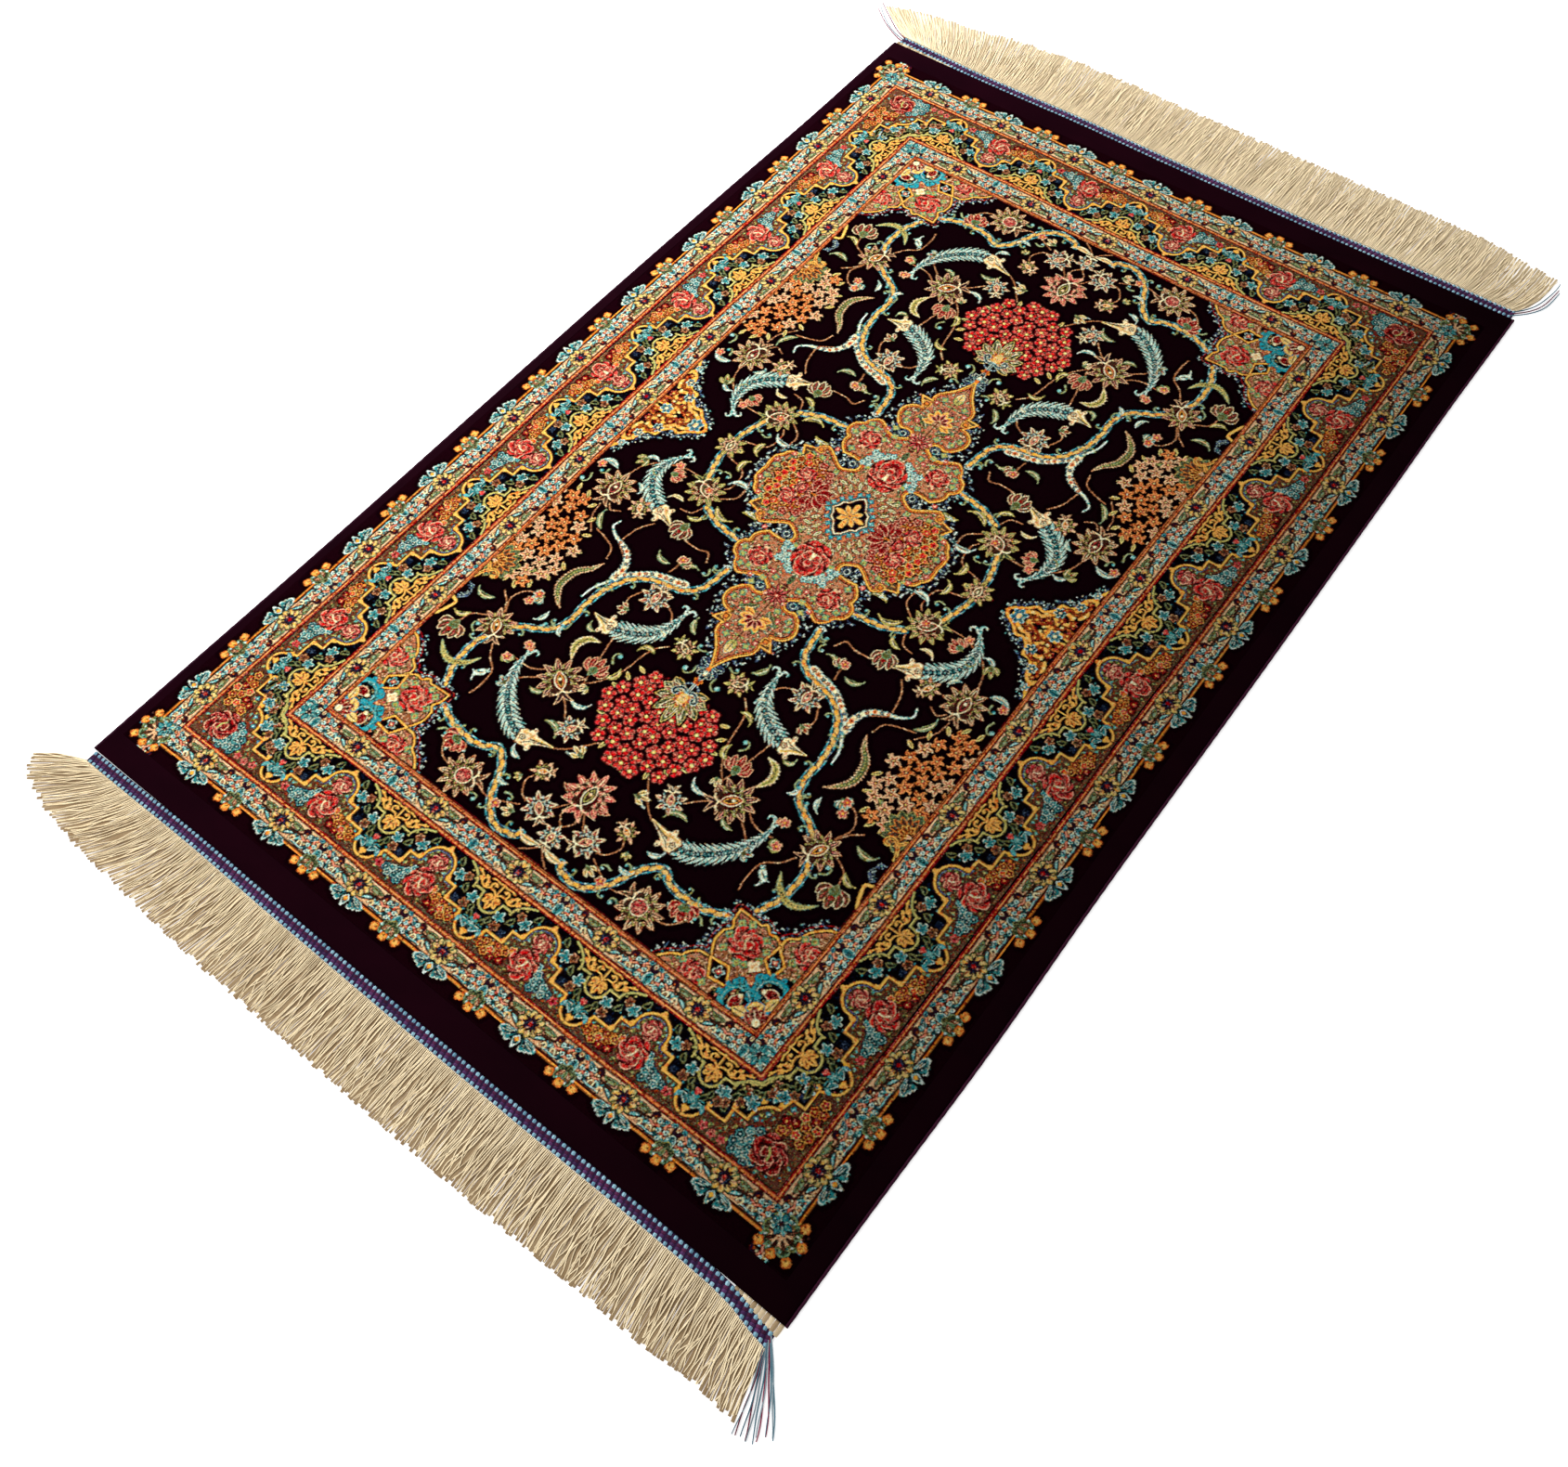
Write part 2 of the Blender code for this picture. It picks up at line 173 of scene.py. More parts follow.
# Dyes of the silk, as they look on the rug in daylight (sRGB, 0 to 255)
DYES = {
    "ground": (22, 4, 11), "plum": (30, 5, 14), "black": (14, 8, 13), "navy": (24, 32, 48),
    "violet": (58, 34, 54), "maroon": (76, 14, 18), "brown": (112, 68, 52), "umber": (70, 46, 34),
    "rust": (150, 66, 36), "copper": (226, 144, 86), "orange": (208, 124, 58), "gold": (228, 165, 82),
    "yellow": (220, 186, 112), "straw": (210, 182, 120),
    "cream": (232, 212, 170), "beige": (224, 174, 132), "tan": (164, 112, 74), "salmon": (188, 120, 82),
    "crimson": (140, 14, 26), "red": (198, 40, 44), "pink": (226, 158, 130), "rose": (178, 70, 70),
    "olive": (114, 110, 66), "sage": (142, 152, 112), "green": (62, 82, 56), "leaf": (170, 162, 96),
    "turquoise": (50, 132, 132), "aqua": (104, 164, 156), "teal": (22, 66, 74),
    "slate": (84, 100, 122), "ice": (186, 206, 190), "lagoon": (44, 146, 154),
}
# Flecks: the dyes that stray into the knots of one dye, and their shares of it in hundredths
FLECKS = {
    "brown": "umber 18 olive 8 rust 16 sage 4 maroon 12", "umber": "maroon 20 brown 20",
    "beige": "tan 16 cream 12 salmon 12", "gold": "orange 22 yellow 14", "orange": "rust 16 gold 20",
    "yellow": "gold 22 cream 16 olive 6", "cream": "beige 24 yellow 12",
    "aqua": "turquoise 22 ice 18 teal 12", "turquoise": "teal 26 aqua 20 umber 6",
    "ice": "aqua 20 turquoise 7 cream 16", "teal": "navy 25 turquoise 20",
    "green": "umber 16 sage 14 olive 20", "sage": "olive 22 leaf 14 aqua 8",
    "leaf": "olive 18 yellow 16", "olive": "green 22 sage 18 umber 8", "red": "crimson 26 pink 10",
    "crimson": "maroon 24 red 16 pink 4", "pink": "rose 22 beige 20", "rose": "crimson 22 pink 20",
    "salmon": "tan 24 brown 14 beige 12 rose 7 sage 6", "tan": "beige 20 brown 24",
    "slate": "navy 25 ice 16", "navy": "black 25 slate 10", "rust": "maroon 20 orange 18",
    "violet": "navy 30 maroon 25", "maroon": "umber 12 crimson 10", "straw": "gold 16 sage 14 tan 14",
    "copper": "rust 20 orange 16", "black": "navy 8 ground 20", "lagoon": "teal 16 aqua 20",
}
DYE_NUMBER = {name: number for number, name in enumerate(DYES)}


def turn(degrees):
    """A direction, counted from +x towards +y."""
    return np.exp(1j * np.radians(degrees))


def arc(centre, radius, first, last):
    """Points along a round arc, from one direction in degrees to another."""
    return centre + radius * turn(np.linspace(first, last, 9))


def spline(points, steps=8):
    """Smooth curve through the points (Catmull-Rom); a point given twice makes a corner."""
    p = np.array(points, dtype=complex)
    p = np.concatenate([[2 * p[0] - p[1]], p, [2 * p[-1] - p[-2]]])
    t = (np.arange(steps) / steps)[None, :]
    a, b, c, d = p[:-3, None], p[1:-2, None], p[2:-1, None], p[3:, None]
    curve = 2 * b + (c - a) * t + (2 * a - 5 * b + 4 * c - d) * t ** 2 + (3 * b - a - 3 * c + d) * t ** 3
    return np.append(0.5 * curve.ravel(), p[-2])


def cusps(*runs):
    """Smooth curves that meet in corners: a tuple is smoothed, a lone point or an arc stays."""
    return [z for run in runs for z in (spline(run, 4) if isinstance(run, tuple) else np.atleast_1d(run))]


def span(path):
    """Length of a path."""
    return np.sum(abs(np.diff(path)))


def holds(path, z):
    """Whether each point z is inside a closed path (even-odd rule)."""
    mask = np.zeros(z.shape, bool)
    for a, b in zip(path, np.roll(path, -1)):
        if a.imag != b.imag:
            crosses = (z.imag > min(a.imag, b.imag)) & (z.imag <= max(a.imag, b.imag))
            mask ^= crosses & (z.real < a.real + (z.imag - a.imag) * (b - a).real / (b - a).imag)
    return mask


class Chart:
    """The quarter chart: a dye number for each knot."""

    def __init__(self):
        across, along = ((np.arange(int(half / KNOT)) + 0.5) * KNOT for half in CHART_HALF)
        self.knots = across[:, None] + 1j * along[None, :]
        self.dye = np.full(self.knots.shape, DYE_NUMBER["plum"], np.int8)
        self.open = np.ones(self.knots.shape, bool)

    def confine(self, half_width, half_length):
        """Keep what is drawn from here on inside a box about the middle."""
        self.open = (self.knots.real < half_width) & (self.knots.imag < half_length)

    def outline(self, ground, dye, knots=2):
        """Tie the outermost knots of a ground, where it meets its motifs, in another dye."""
        for _ in range(knots):
            inside = self.dye == DYE_NUMBER[ground]
            edge = np.zeros_like(inside)
            for axis in (0, 1):
                for step in (-1, 1):
                    edge |= inside & ~np.roll(inside, step, axis)
            self.dye[edge] = DYE_NUMBER[dye]

    def fleck(self):
        """Scatter the FLECKS over the chart, in spots of about a millimetre.

        A smoothed field of chance numbers is cut at the shares' quantiles; each dye reads the field
        at a place of its own.
        """
        field = np.random.default_rng(5).random(self.dye.shape)
        for axis in (0, 1, 0, 1):
            field = field + np.roll(field, 1, axis) + np.roll(field, -1, axis)
        before = self.dye.copy()
        for number, (dye, others) in enumerate(FLECKS.items()):
            knots = before == DYE_NUMBER[dye]
            level = np.roll(field, 37 * number, 0)[knots]
            tied = before[knots]
            rest = 1.0
            words = others.split()
            for other, percent in zip(words[::2], words[1::2]):
                share = int(percent) / 100
                low, high = np.quantile(level, (rest - share, rest))
                tied[(level > low) & (level <= high)] = DYE_NUMBER[other]
                rest -= share
            self.dye[knots] = tied

    def window(self, points, reach):
        """Cut of the chart that holds the given chart points and reach more all round."""
        points = np.atleast_1d(points)
        cut = []
        for value, count in zip((points.real, points.imag), self.dye.shape):
            first = int(np.clip((value.min() - reach) / KNOT, 0, count))
            last = int(np.clip((value.max() + reach) / KNOT + 1, 0, count))
            cut.append(slice(first, last))
        return tuple(cut)

    def lay(self, cut, mask, dye):
        """Tie the knots of a cut that the mask marks in one dye."""
        self.dye[cut][mask & self.open[cut]] = DYE_NUMBER[dye]


CHART = Chart()


class Frame:
    """A place to draw in: local point z lies at place + lie * z, with z mirrored where flip is set."""

    def __init__(self, place=0, lie=1, flip=False):
        self.place, self.lie, self.flip = place, lie, flip

    def mirrored(self, z):
        """z, or its mirror image where flip is set."""
        return np.conj(z) if self.flip else z

    def world(self, z):
        """Chart point of a local point."""
        return self.place + self.lie * self.mirrored(z)

    def at(self, place, lie=1, flip=False):
        """A smaller frame inside this one."""
        return Frame(self.world(place), self.lie * self.mirrored(lie), self.flip != flip)

    def pair(self):
        """This frame and its mirror image across its own y axis."""
        return self, Frame(self.place, -self.lie, not self.flip)

    def local(self, cut):
        """The knots of a cut as local points."""
        return self.mirrored((CHART.knots[cut] - self.place) / self.lie)

    def ribbon(self, path, reach):
        """Knots within reach of a local path: their cut, share along it, and offset to its left.

        Each straight step of the path claims the knots that lie nearer to it than to any other.
        """
        path = self.world(np.asarray(path))
        path = path[np.append(True, abs(np.diff(path)) > 1e-6)]
        cut = CHART.window(path, reach)
        share = np.zeros(CHART.knots[cut].shape)
        offset = np.full(share.shape, 1e6)
        run = np.append(0, np.cumsum(abs(np.diff(path))))
        for k in range(len(path) - 1):
            part = CHART.window(path[k:k + 2], reach)
            inner = tuple(slice(p.start - c.start, p.stop - c.start) for p, c in zip(part, cut))
            w = (CHART.knots[part] - path[k]) / (path[k + 1] - path[k])
            t = np.clip(w.real, 0, 1)
            size = run[k + 1] - run[k]
            distance = abs(w - t) * size
            nearer = distance < abs(offset[inner])
            offset[inner][nearer] = np.where(w.imag < 0, -distance, distance)[nearer]
            share[inner][nearer] = (run[k] + t * size)[nearer] / run[-1]
        return cut, share, -offset if self.flip else offset

    def line(self, path, width, dye, taper=0.0):
        """A line of one dye along a path, thinner by taper towards its end."""
        cut, share, offset = self.ribbon(path, width)
        CHART.lay(cut, abs(offset) < width / 2 * (1 - taper * share), dye)

    def stroke(self, points, width, dye, taper=0.0):
        """A smooth line through the points."""
        self.line(spline(points), width, dye, taper)

    def band(self, path, lines):
        """Stripes along a path: a row for each of offset from, offset to, dye."""
        cut, _, offset = self.ribbon(path, max(abs(row[k]) for row in lines for k in (0, 1)) + 1)
        for low, high, dye in lines:
            CHART.lay(cut, (offset >= low) & (offset < high), dye)

    def fill(self, path, dye):
        """One dye inside a closed path."""
        path = self.world(np.asarray(path))
        cut = CHART.window(path, KNOT)
        CHART.lay(cut, holds(path, CHART.knots[cut]), dye)

    def disc(self, centre, radius, dye):
        """A round spot."""
        place = self.world(centre)
        radius = radius * abs(self.lie)
        cut = CHART.window(place, radius)
        CHART.lay(cut, abs(CHART.knots[cut] - place) < radius, dye)

    def ring(self, petals, radius, dye, depth=0.4, sharp=1.0, start=0.0, lean=0.0):
        """A rosette: its radius falls by depth between petals, and sharp above 1 points them.

        lean makes the petals along the frame's +x axis longer than those behind.
        """
        cut = CHART.window(self.place, radius * abs(self.lie) * (1 + abs(lean)))
        z = self.local(cut)
        angle = np.angle(z)
        crest = abs(np.cos(petals * (angle - np.radians(start)) / 2)) ** sharp
        CHART.lay(cut, abs(z) < radius * (1 - depth * (1 - crest)) * (1 + lean * np.cos(angle)), dye)

    def blade(self, base, tip, width, edge, body=None, vein=None, bend=0.0, line=0.7, blunt=1.0):
        """A pointed petal or leaf from base to tip: a lens whose axis bows sideways by bend.

        Its half width is width / 2 * sin(pi * share ^ blunt) ^ 0.75.
        """
        ends = np.array([self.world(base), self.world(tip)])
        length = abs(ends[1] - ends[0])
        cut = CHART.window(ends, width / 2 + abs(bend) * length)
        z = Frame(ends[0], ends[1] - ends[0], self.flip).local(cut)
        u = z.real
        off = (z.imag - bend * 4 * u * (1 - u)) * length
        half = width / 2 * np.sin(np.pi * np.clip(u, 0, 1) ** blunt) ** 0.75
        within = (u > 0) & (u < 1)
        CHART.lay(cut, within & (abs(off) < half), edge)
        if body:
            CHART.lay(cut, within & (abs(off) < half - line), body)
        if vein:
            CHART.lay(cut, (u > 0.08) & (u < 0.8) & (abs(off) < 0.35) & (half > 1.2), vein)


def facing(place, degrees):
    """Frame at a chart point whose +x axis points in a direction."""
    return Frame(place, turn(degrees))


# The whole rug as one place to draw in
RUG = Frame()


# Motifs. Each is drawn in its own frame, about its own middle or from its stem, pointing along +x.


def floret(frame, radius, petal, heart, rim=None, petals=5):
    """An open flower: petals, with a rim where given, about a round heart."""
    if rim:
        frame.ring(petals, radius, rim, 0.42, start=90)
        radius -= 1.0
    frame.ring(petals, radius, petal, 0.5, start=90)
    frame.disc(0, radius * 0.3, heart)


def star_flower(frame, radius, petal, line, heart):
    """An open flower of pointed petals that each have a dark line down the middle."""
    frame.ring(5, radius * 1.12, "ground", 0.60, 1.5, 90)
    for k in range(5):
        tip = radius * turn(90 + 72 * k)
        frame.blade(tip * 0.10, tip * 1.02, radius * 0.56, petal, "orange", line, line=1.5, blunt=0.8)
        frame.disc(tip * 0.98 * turn(12), radius * 0.10, petal)
    frame.ring(5, radius * 0.34, heart, 0.3)


def rose(frame, radius, body="red", edge="pink", deep="crimson", heart="beige"):
    """A full-blown rose: ragged outer petals with pale lips, and deep inner petals folded to one side."""
    for k in range(7):
        ray = turn(51.4 * k + 20)
        size = radius * (0.54 + 0.08 * np.cos(2.3 * k))
        own = frame.at(0.50 * radius * ray, ray)
        own.ring(3, size + 0.8, "maroon", 0.24, 0.9, 180)
        own.ring(3, size, edge if k % 2 else "rose", 0.24, 0.9)
        own.at(-0.4).ring(3, size - 0.7, body, 0.26, 0.9)
        own.at(-0.22 * size).ring(3, size * 0.72, deep, 0.3, 0.9)
    frame.ring(6, radius * 0.60, "rose", 0.26, 0.9, 15)
    frame.at(0.03 * radius).ring(6, radius * 0.60 - 0.6, deep, 0.28, 0.9, 15)
    for way, size in ((70, 0.30), (190, 0.26), (310, 0.28)):
        own = frame.at(0.26 * radius * turn(way), turn(way))
        own.ring(3, radius * size, edge, 0.3, 0.8, 60)
        own.at(-0.3).ring(3, radius * size - 0.7, body, 0.3, 0.8, 60)
    frame.stroke([radius * (-0.28-0.18j), radius * (0.0+0.02j), radius * (0.34+0.06j)], radius * 0.10,
        heart)


def heap(frame, places, radius, petals, heart, rim):
    """Florets that touch and make one mass: dark rims, then edge and body of the given pairs by turns."""
    for place in places:
        frame.at(place).ring(5, radius + 1.2, rim, 0.16, start=30 * radius)
    for k, place in enumerate(places):
        own = frame.at(place, turn(47 * k))
        edge, body = petals[k % len(petals)]
        own.ring(5, radius, edge, 0.34, 0.8)
        own.ring(5, radius - 0.7, body, sharp=0.8)
        own.disc(0, radius * 0.20, heart)


def scatter(frame, places, dyes):
    """Small sprigs of two leaves that fill a ground, each turned by 67 degrees more than the last."""
    for k, place in enumerate(places):
        own = frame.at(place, turn(67 * k))
        own.blade(-2.2, 2.4, 2.2, dyes[k % len(dyes)], bend=0.2)
        own.blade(-1.0, 0.8+2.2j, 1.8, dyes[(k + 1) % len(dyes)])


def fan(frame, count, spread, reach, width, dyes, base=0.2, lift=0.2, bend=0.06):
    """Petals side by side about +x, out to spread degrees on each side; outer ones lie lowest.

    dyes are edge, body and vein. A petal's length falls by lift from the middle to the sides.
    """
    edge, body, vein = dyes
    for side in sorted(np.linspace(-1, 1, count), key=lambda value: -abs(value)):
        length = reach * (1 - lift * abs(side))
        own = frame.at(0, turn(side * spread))
        own.blade(base * length, length, width, edge, body, vein, bend=-bend * np.sign(side))


def palmette(frame, radius, outer, inner, core, count, round_core=False):
    """A lotus palmette: pointed petals, long and short by turns, round an urn and over a calyx."""
    edge, body, seed = core
    for side in (-1, 1):
        for reach, way in ((1.05, 158), (0.78, 136)):
            tip = radius * reach * turn(way * side)
            frame.blade(tip * 0.2, tip, radius * 0.2, outer[0], outer[1], bend=0.2 * side)
    for k in sorted(range(count), key=lambda number: -abs(2 * number - count + 1)):
        side = 2 * k / (count - 1) - 1
        long = (k + count // 2) % 2 == 0
        reach = radius * ((1.08 if long else 0.80) - 0.16 * abs(side))
        width = radius * (0.27 if long else 0.22)
        own = frame.at(0, turn(side * 126))
        bend = -0.07 * np.sign(side)
        own.blade(0.15 * reach, reach + 0.4, width + 1.4, "maroon", bend=bend)
        own.blade(0.15 * reach, reach, width, *(outer if long else inner), bend=bend, line=0.9)
    frame.ring(9, radius * 0.60, "umber", 0.2, 0.9, 20)
    fan(frame, 7, 112, radius * 0.58, radius * 0.24, (inner[0], outer[1], inner[2]), lift=0.1)
    frame.ring(9, radius * 0.40, "maroon", 0.16, 0.9)
    if round_core:
        frame.disc(0, radius * 0.36, edge)
        frame.disc(0, radius * 0.36 - 1.0, body)
        for k in range(4):
            bow = arc(radius * 0.19 * turn(90 * k), radius * 0.12, 90 * k - 120, 90 * k + 120)
            frame.stroke(bow, 0.8, seed)
    else:
        frame.blade(-0.40 * radius, 0.50 * radius, radius * 0.48, edge, seed, line=1.1)
        frame.blade(-0.26 * radius, 0.36 * radius, radius * 0.26, body, "umber", line=0.9)
        frame.disc(0.12 * radius, radius * 0.07, edge)
    for side in (-1, 1):
        frame.stroke([radius * -0.42, radius * (-0.55 + 0.2j * side), radius * (-0.5 + 0.36j * side)],
            1.6, edge, 0.4)


def lily(frame, length, width, dyes, count, spread):
    """A long flower from its stem at the frame's place: a few narrow petals out of a calyx."""
    fan(frame, count, spread, length, width * 0.36, dyes, base=0.25, lift=0.16, bend=-0.10)
    frame.blade(0, length * 0.5, width * 0.42, "sage", "olive", blunt=1.4)
    frame.disc(length * 0.56, width * 0.09, "crimson")


def leaf(frame, length, width, bend, edge, body, vein):
    """A crescent leaf along a bowed path, pale on its outer side, that ends in a thin hook.

    The half width is width / 2 * sin(pi * 1.15 * share) ^ 0.8, and never less than the hook's.
    """
    path = spline([0, length * (0.3 + 0.9j * bend), length * (0.7 + 1.05j * bend),
        length * (0.98 + 0.3j * bend), length * (1.10 - 0.5j * bend)])
    cut, share, offset = frame.ribbon(path, width)
    swell = np.sin(np.pi * np.clip(share * 1.15, 0, 1)) ** 0.8
    half = width / 2 * swell
    CHART.lay(cut, abs(offset) < np.maximum(half, 0.55), edge)
    side = offset * np.sign(bend)
    CHART.lay(cut, (side < 0.5) & (side > 0.9 - half), body)
    CHART.lay(cut, (side > -half * 0.1) & (side < 0.45) & (half > 1.3), vein)


def sawn_leaf(frame, points, width, edge, body, seed):
    """A long leaf with sawn edges along a curve, with a dotted middle.

    Its half width is width / 2 * sin(pi * share) ^ 0.7, times a saw of 3.2 mm teeth.
    """
    path = spline(points)
    cut, share, offset = frame.ribbon(path, width)
    run = share * span(path)
    saw = 0.68 + 0.32 * np.mod((run + 0.7 * abs(offset)) / 3.2, 1)
    half = width / 2 * np.sin(np.pi * np.clip(share, 0.02, 0.98)) ** 0.7 * saw
    CHART.lay(cut, abs(offset) < half, edge)
    CHART.lay(cut, abs(offset) < half - 0.9, body)
    CHART.lay(cut, (abs(offset) < 0.6) & (np.mod(run, 3.0) < 1.6) & (half > 1.8), seed)


def feather_leaf(frame, points, width, head):
    """The great sawn leaf of the field: a forked tip, a barbed blade with blue rosettes, a pale head.

    points run from the tip to the head, the point where the stem joins. The half width grows as
    sin(pi / 2 * 1.2 share) ^ 0.85 and falls at the head; its barbs slant back to the tip.
    """
    path = spline(points)
    length = span(path)
    cut, share, offset = frame.ribbon(path, width * 1.15)
    run = share * length
    barb = np.mod((run - 1.1 * abs(offset)) / 6.4, 1)
    swell = np.sin(np.pi / 2 * np.clip(share * 1.2, 0, 1)) ** 0.85 * np.clip((1.12 - share) * 5, 0, 1)
    half = width / 2 * swell * (0.44 + 0.68 * barb)
    within = abs(offset) < half
    CHART.lay(cut, within, "ice")
    CHART.lay(cut, (abs(offset) < half - 1.0) & (barb > 0.66) & (barb < 0.84), "aqua")
    CHART.lay(cut, within & (barb < 0.28) & (abs(offset) > 1.2), "navy")
    CHART.lay(cut, abs(offset) < width * 0.15 * swell, "teal")
    CHART.lay(cut, within & (abs(offset) < 1.1) & (np.mod(run, 3.6) < 1.5), "aqua")
    for place in (0.34, 0.46, 0.58, 0.70, 0.82, 0.93):
        centre = path[int(place * (len(path) - 1))]
        size = width * (0.10 + 0.12 * place)
        frame.at(centre).ring(6, size + 0.8, "ice", 0.3)
        frame.at(centre).ring(6, size + 0.2, "navy", 0.42, 0.9)
        frame.disc(centre, size * 0.30, "aqua")
    start = path[0] - path[3]
    start /= abs(start)
    for side, size in ((-1, 9.0), (1, 8.0)):
        hook = [path[2], path[0] + start * turn(side * 34) * size * 0.6,
            path[0] + start * turn(side * 62) * size, path[0] + start * turn(side * 84) * size * 0.9]
        frame.stroke(hook, 3.4, "ice", taper=0.7)
        frame.stroke(hook, 1.3, "aqua", taper=0.9)
    frame.at(path[1] + start * 1.5).ring(5, 3.0, "ice")
    frame.disc(path[1] + start * 1.5, 1.1, "teal")
    neck = path[-1]
    own = frame.at(neck, (head - neck) / abs(head - neck))
    reach = abs(head - neck)
    horn = [-0.10+0.40j, 0.06+0.52j, 0.16+0.44j, 0.24+0.58j, 0.36+0.56j, 0.36+0.40j, 0.46+0.26j,
        0.70+0.16j, 1.0+0.03j, 1.0-0.03j, 0.70-0.10j, 0.46-0.20j, 0.34-0.34j, 0.40-0.52j, 0.28-0.60j,
        0.20-0.44j, 0.04-0.46j, -0.10-0.36j]
    outline = np.array([z.real * reach + 1j * z.imag * width * 0.92 for z in horn])
    own.fill(outline, "brown")
    own.fill(outline * 0.93 + reach * 0.03, "cream")
    own.stroke([0.06 * reach + 0.30j * width, 0.22 * reach + 0.24j * width, 0.42 * reach + 0.10j * width,
        0.9 * reach], 1.8, "yellow")
    own.stroke([0.10 * reach - 0.28j * width, 0.3 * reach - 0.12j * width, 0.86 * reach], 0.8, "umber")
    for side, place in ((1, 0.31+0.50j), (-1, 0.31-0.50j)):
        spot = place.real * reach + 1j * place.imag * width
        own.disc(spot, 2.0, "cream")
        own.disc(spot, 0.9, "brown")
    own.at(0.06 * reach).ring(5, width * 0.17, "brown", 0.36, 0.9)
    own.at(0.06 * reach).ring(5, width * 0.11, "cream", 0.36, 0.9)
    own.disc(0.06 * reach, width * 0.05, "teal")
    own.stroke([0.30 * reach, 0.60 * reach, 0.88 * reach], 1.7, "olive", taper=0.5)
    own.stroke([0.30 * reach, 0.60 * reach, 0.88 * reach], 0.6, "umber")


def curl(frame, size):
    """A small curled leaf: a hook that ends in a round bud."""
    frame.stroke([0, size * (0.5+0.25j), size * (0.95+0.1j), size * (0.95-0.25j)], 1.9, "sage", taper=0.5)
    frame.disc(size * (0.8-0.22j), size * 0.17, "aqua")


def vine(points):
    """The gold stem: turquoise edges, a dark line, and a gold core that swings from side to side.

    Its half width is width / 2 and a ripple: 0.6 * sin(run / 2.7) * sin(run / 9.7 and 1 to each side).
    """
    width = 8.2
    path = spline(points)
    cut, share, offset = Frame().ribbon(path, width * 1.3)
    run = share * span(path)
    half = width / 2 + 0.6 * np.sin(run / 2.7) * np.sin(run / 9.7 + np.sign(offset))
    CHART.lay(cut, abs(offset) < half, "turquoise")
    CHART.lay(cut, (abs(offset) < half) & (np.mod(run, 9.0) < 4.6), "aqua")
    CHART.lay(cut, (abs(offset) < half) & (np.mod(run, 9.0) < 1.2), "ice")
    CHART.lay(cut, abs(offset) < 3.0, "navy")
    swing = 0.6 * np.sign(np.sin(run / 2.0))
    CHART.lay(cut, abs(offset - swing) < 2.1, "straw")
    CHART.lay(cut, (abs(offset - swing) < 1.2) & (np.mod(run, 12.5) < 5.6), "gold")
    CHART.lay(cut, (abs(offset) < 2.6) & (np.mod(run + 0.8 * offset, 12.5) > 11.7), "umber")
    total = np.append(0, np.cumsum(abs(np.diff(path))))
    for k, place in enumerate(np.arange(9.0, total[-1] - 6, 31.0)):
        spot = int(np.searchsorted(total, place))
        ahead = path[min(spot + 1, len(path) - 1)] - path[spot - 1]
        side = 1 if k % 2 else -1
        lie = 1j * side * ahead / abs(ahead)
        curl(Frame(path[spot] + lie * width * 0.4, lie), 7.0)


def split_arm(points):
    """The pale split-leaf arm: an ice and cream blade, sawn on both sides, with florets along it.

    Its half width falls evenly from width / 2 to a twelfth of that, and swells at each 5 mm barb.
    """
    width = 8.4
    path = spline(points)
    length = span(path)
    cut, share, offset = RUG.ribbon(path, width * 1.3)
    run = share * length
    barb = np.mod((run - 0.8 * abs(offset)) / 5.0, 1)
    half = width / 2 * (1 - 0.92 * share) * (0.72 + 0.55 * barb)
    CHART.lay(cut, abs(offset) < np.maximum(half, 0.8), "ice")
    CHART.lay(cut, abs(offset) < half - 1.0, "cream")
    CHART.lay(cut, (abs(offset) < half - 0.4) & (barb < 0.14) & (abs(offset) > 1.4), "teal")
    count = max(int(length / 6.2), 2)
    for k in range(int(count * 0.62)):
        place = path[int((k + 0.5) / count * (len(path) - 1))]
        petal, heart = (("rust", "yellow"), ("orange", "crimson"), ("navy", "aqua"))[k % 3]
        floret(RUG.at(place), 2.9 - 1.2 * k / count, petal, heart, petals=5)


def lattice(path, pitch, offset=0.0):
    """Points of a honeycomb that lie inside a closed path."""
    low, high = path.real.min(), path.real.max()
    near, far = path.imag.min(), path.imag.max()
    rows = np.arange(near, far + pitch, pitch * 0.866)
    columns = pitch * np.arange(np.floor(low / pitch) - 1, high / pitch + 1)
    shift = (np.arange(len(rows)) % 2)[:, None] * pitch / 2 + offset
    grid = (columns[None, :] + shift) + 1j * rows[:, None]
    return grid[holds(path, grid)]


def frill(points, depth, pitch):
    """A fringe of blue-white twigs on the left of an outline."""
    path = spline(points, 5)
    chance = np.random.default_rng(int(depth * 10))
    run = np.append(0, np.cumsum(abs(np.diff(path))))
    for k, place in enumerate(np.arange(pitch / 2, run[-1], pitch)):
        at = np.interp(place, run, path.real) + 1j * np.interp(place, run, path.imag)
        ahead = np.interp(place + 1, run, path.real) + 1j * np.interp(place + 1, run, path.imag)
        normal = 1j * (ahead - at)
        if abs(normal) < 1e-6:
            continue
        own = Frame(at, normal / abs(normal))
        reach = depth * (0.55 + 0.65 * abs(np.sin(0.9 * k)))
        lean = chance.uniform(-2.6, 2.6)
        own.stroke([1.0, reach * 0.5 + 0.3j * lean, reach * 0.9 + 1j * lean], 0.8, "navy")
        for _ in range(2):
            spot = chance.uniform(1.0, reach) + 1j * chance.uniform(-0.7, 0.7) * pitch
            hook = [spot, spot + 1.6 * turn(chance.uniform(0, 360)),
                spot + 2.0 * turn(chance.uniform(0, 360))]
            own.line(hook, 0.8, ("slate", "ice", "slate")[chance.integers(3)])
        own.disc(reach * 0.9 + 1j * lean, 0.7, "ice")


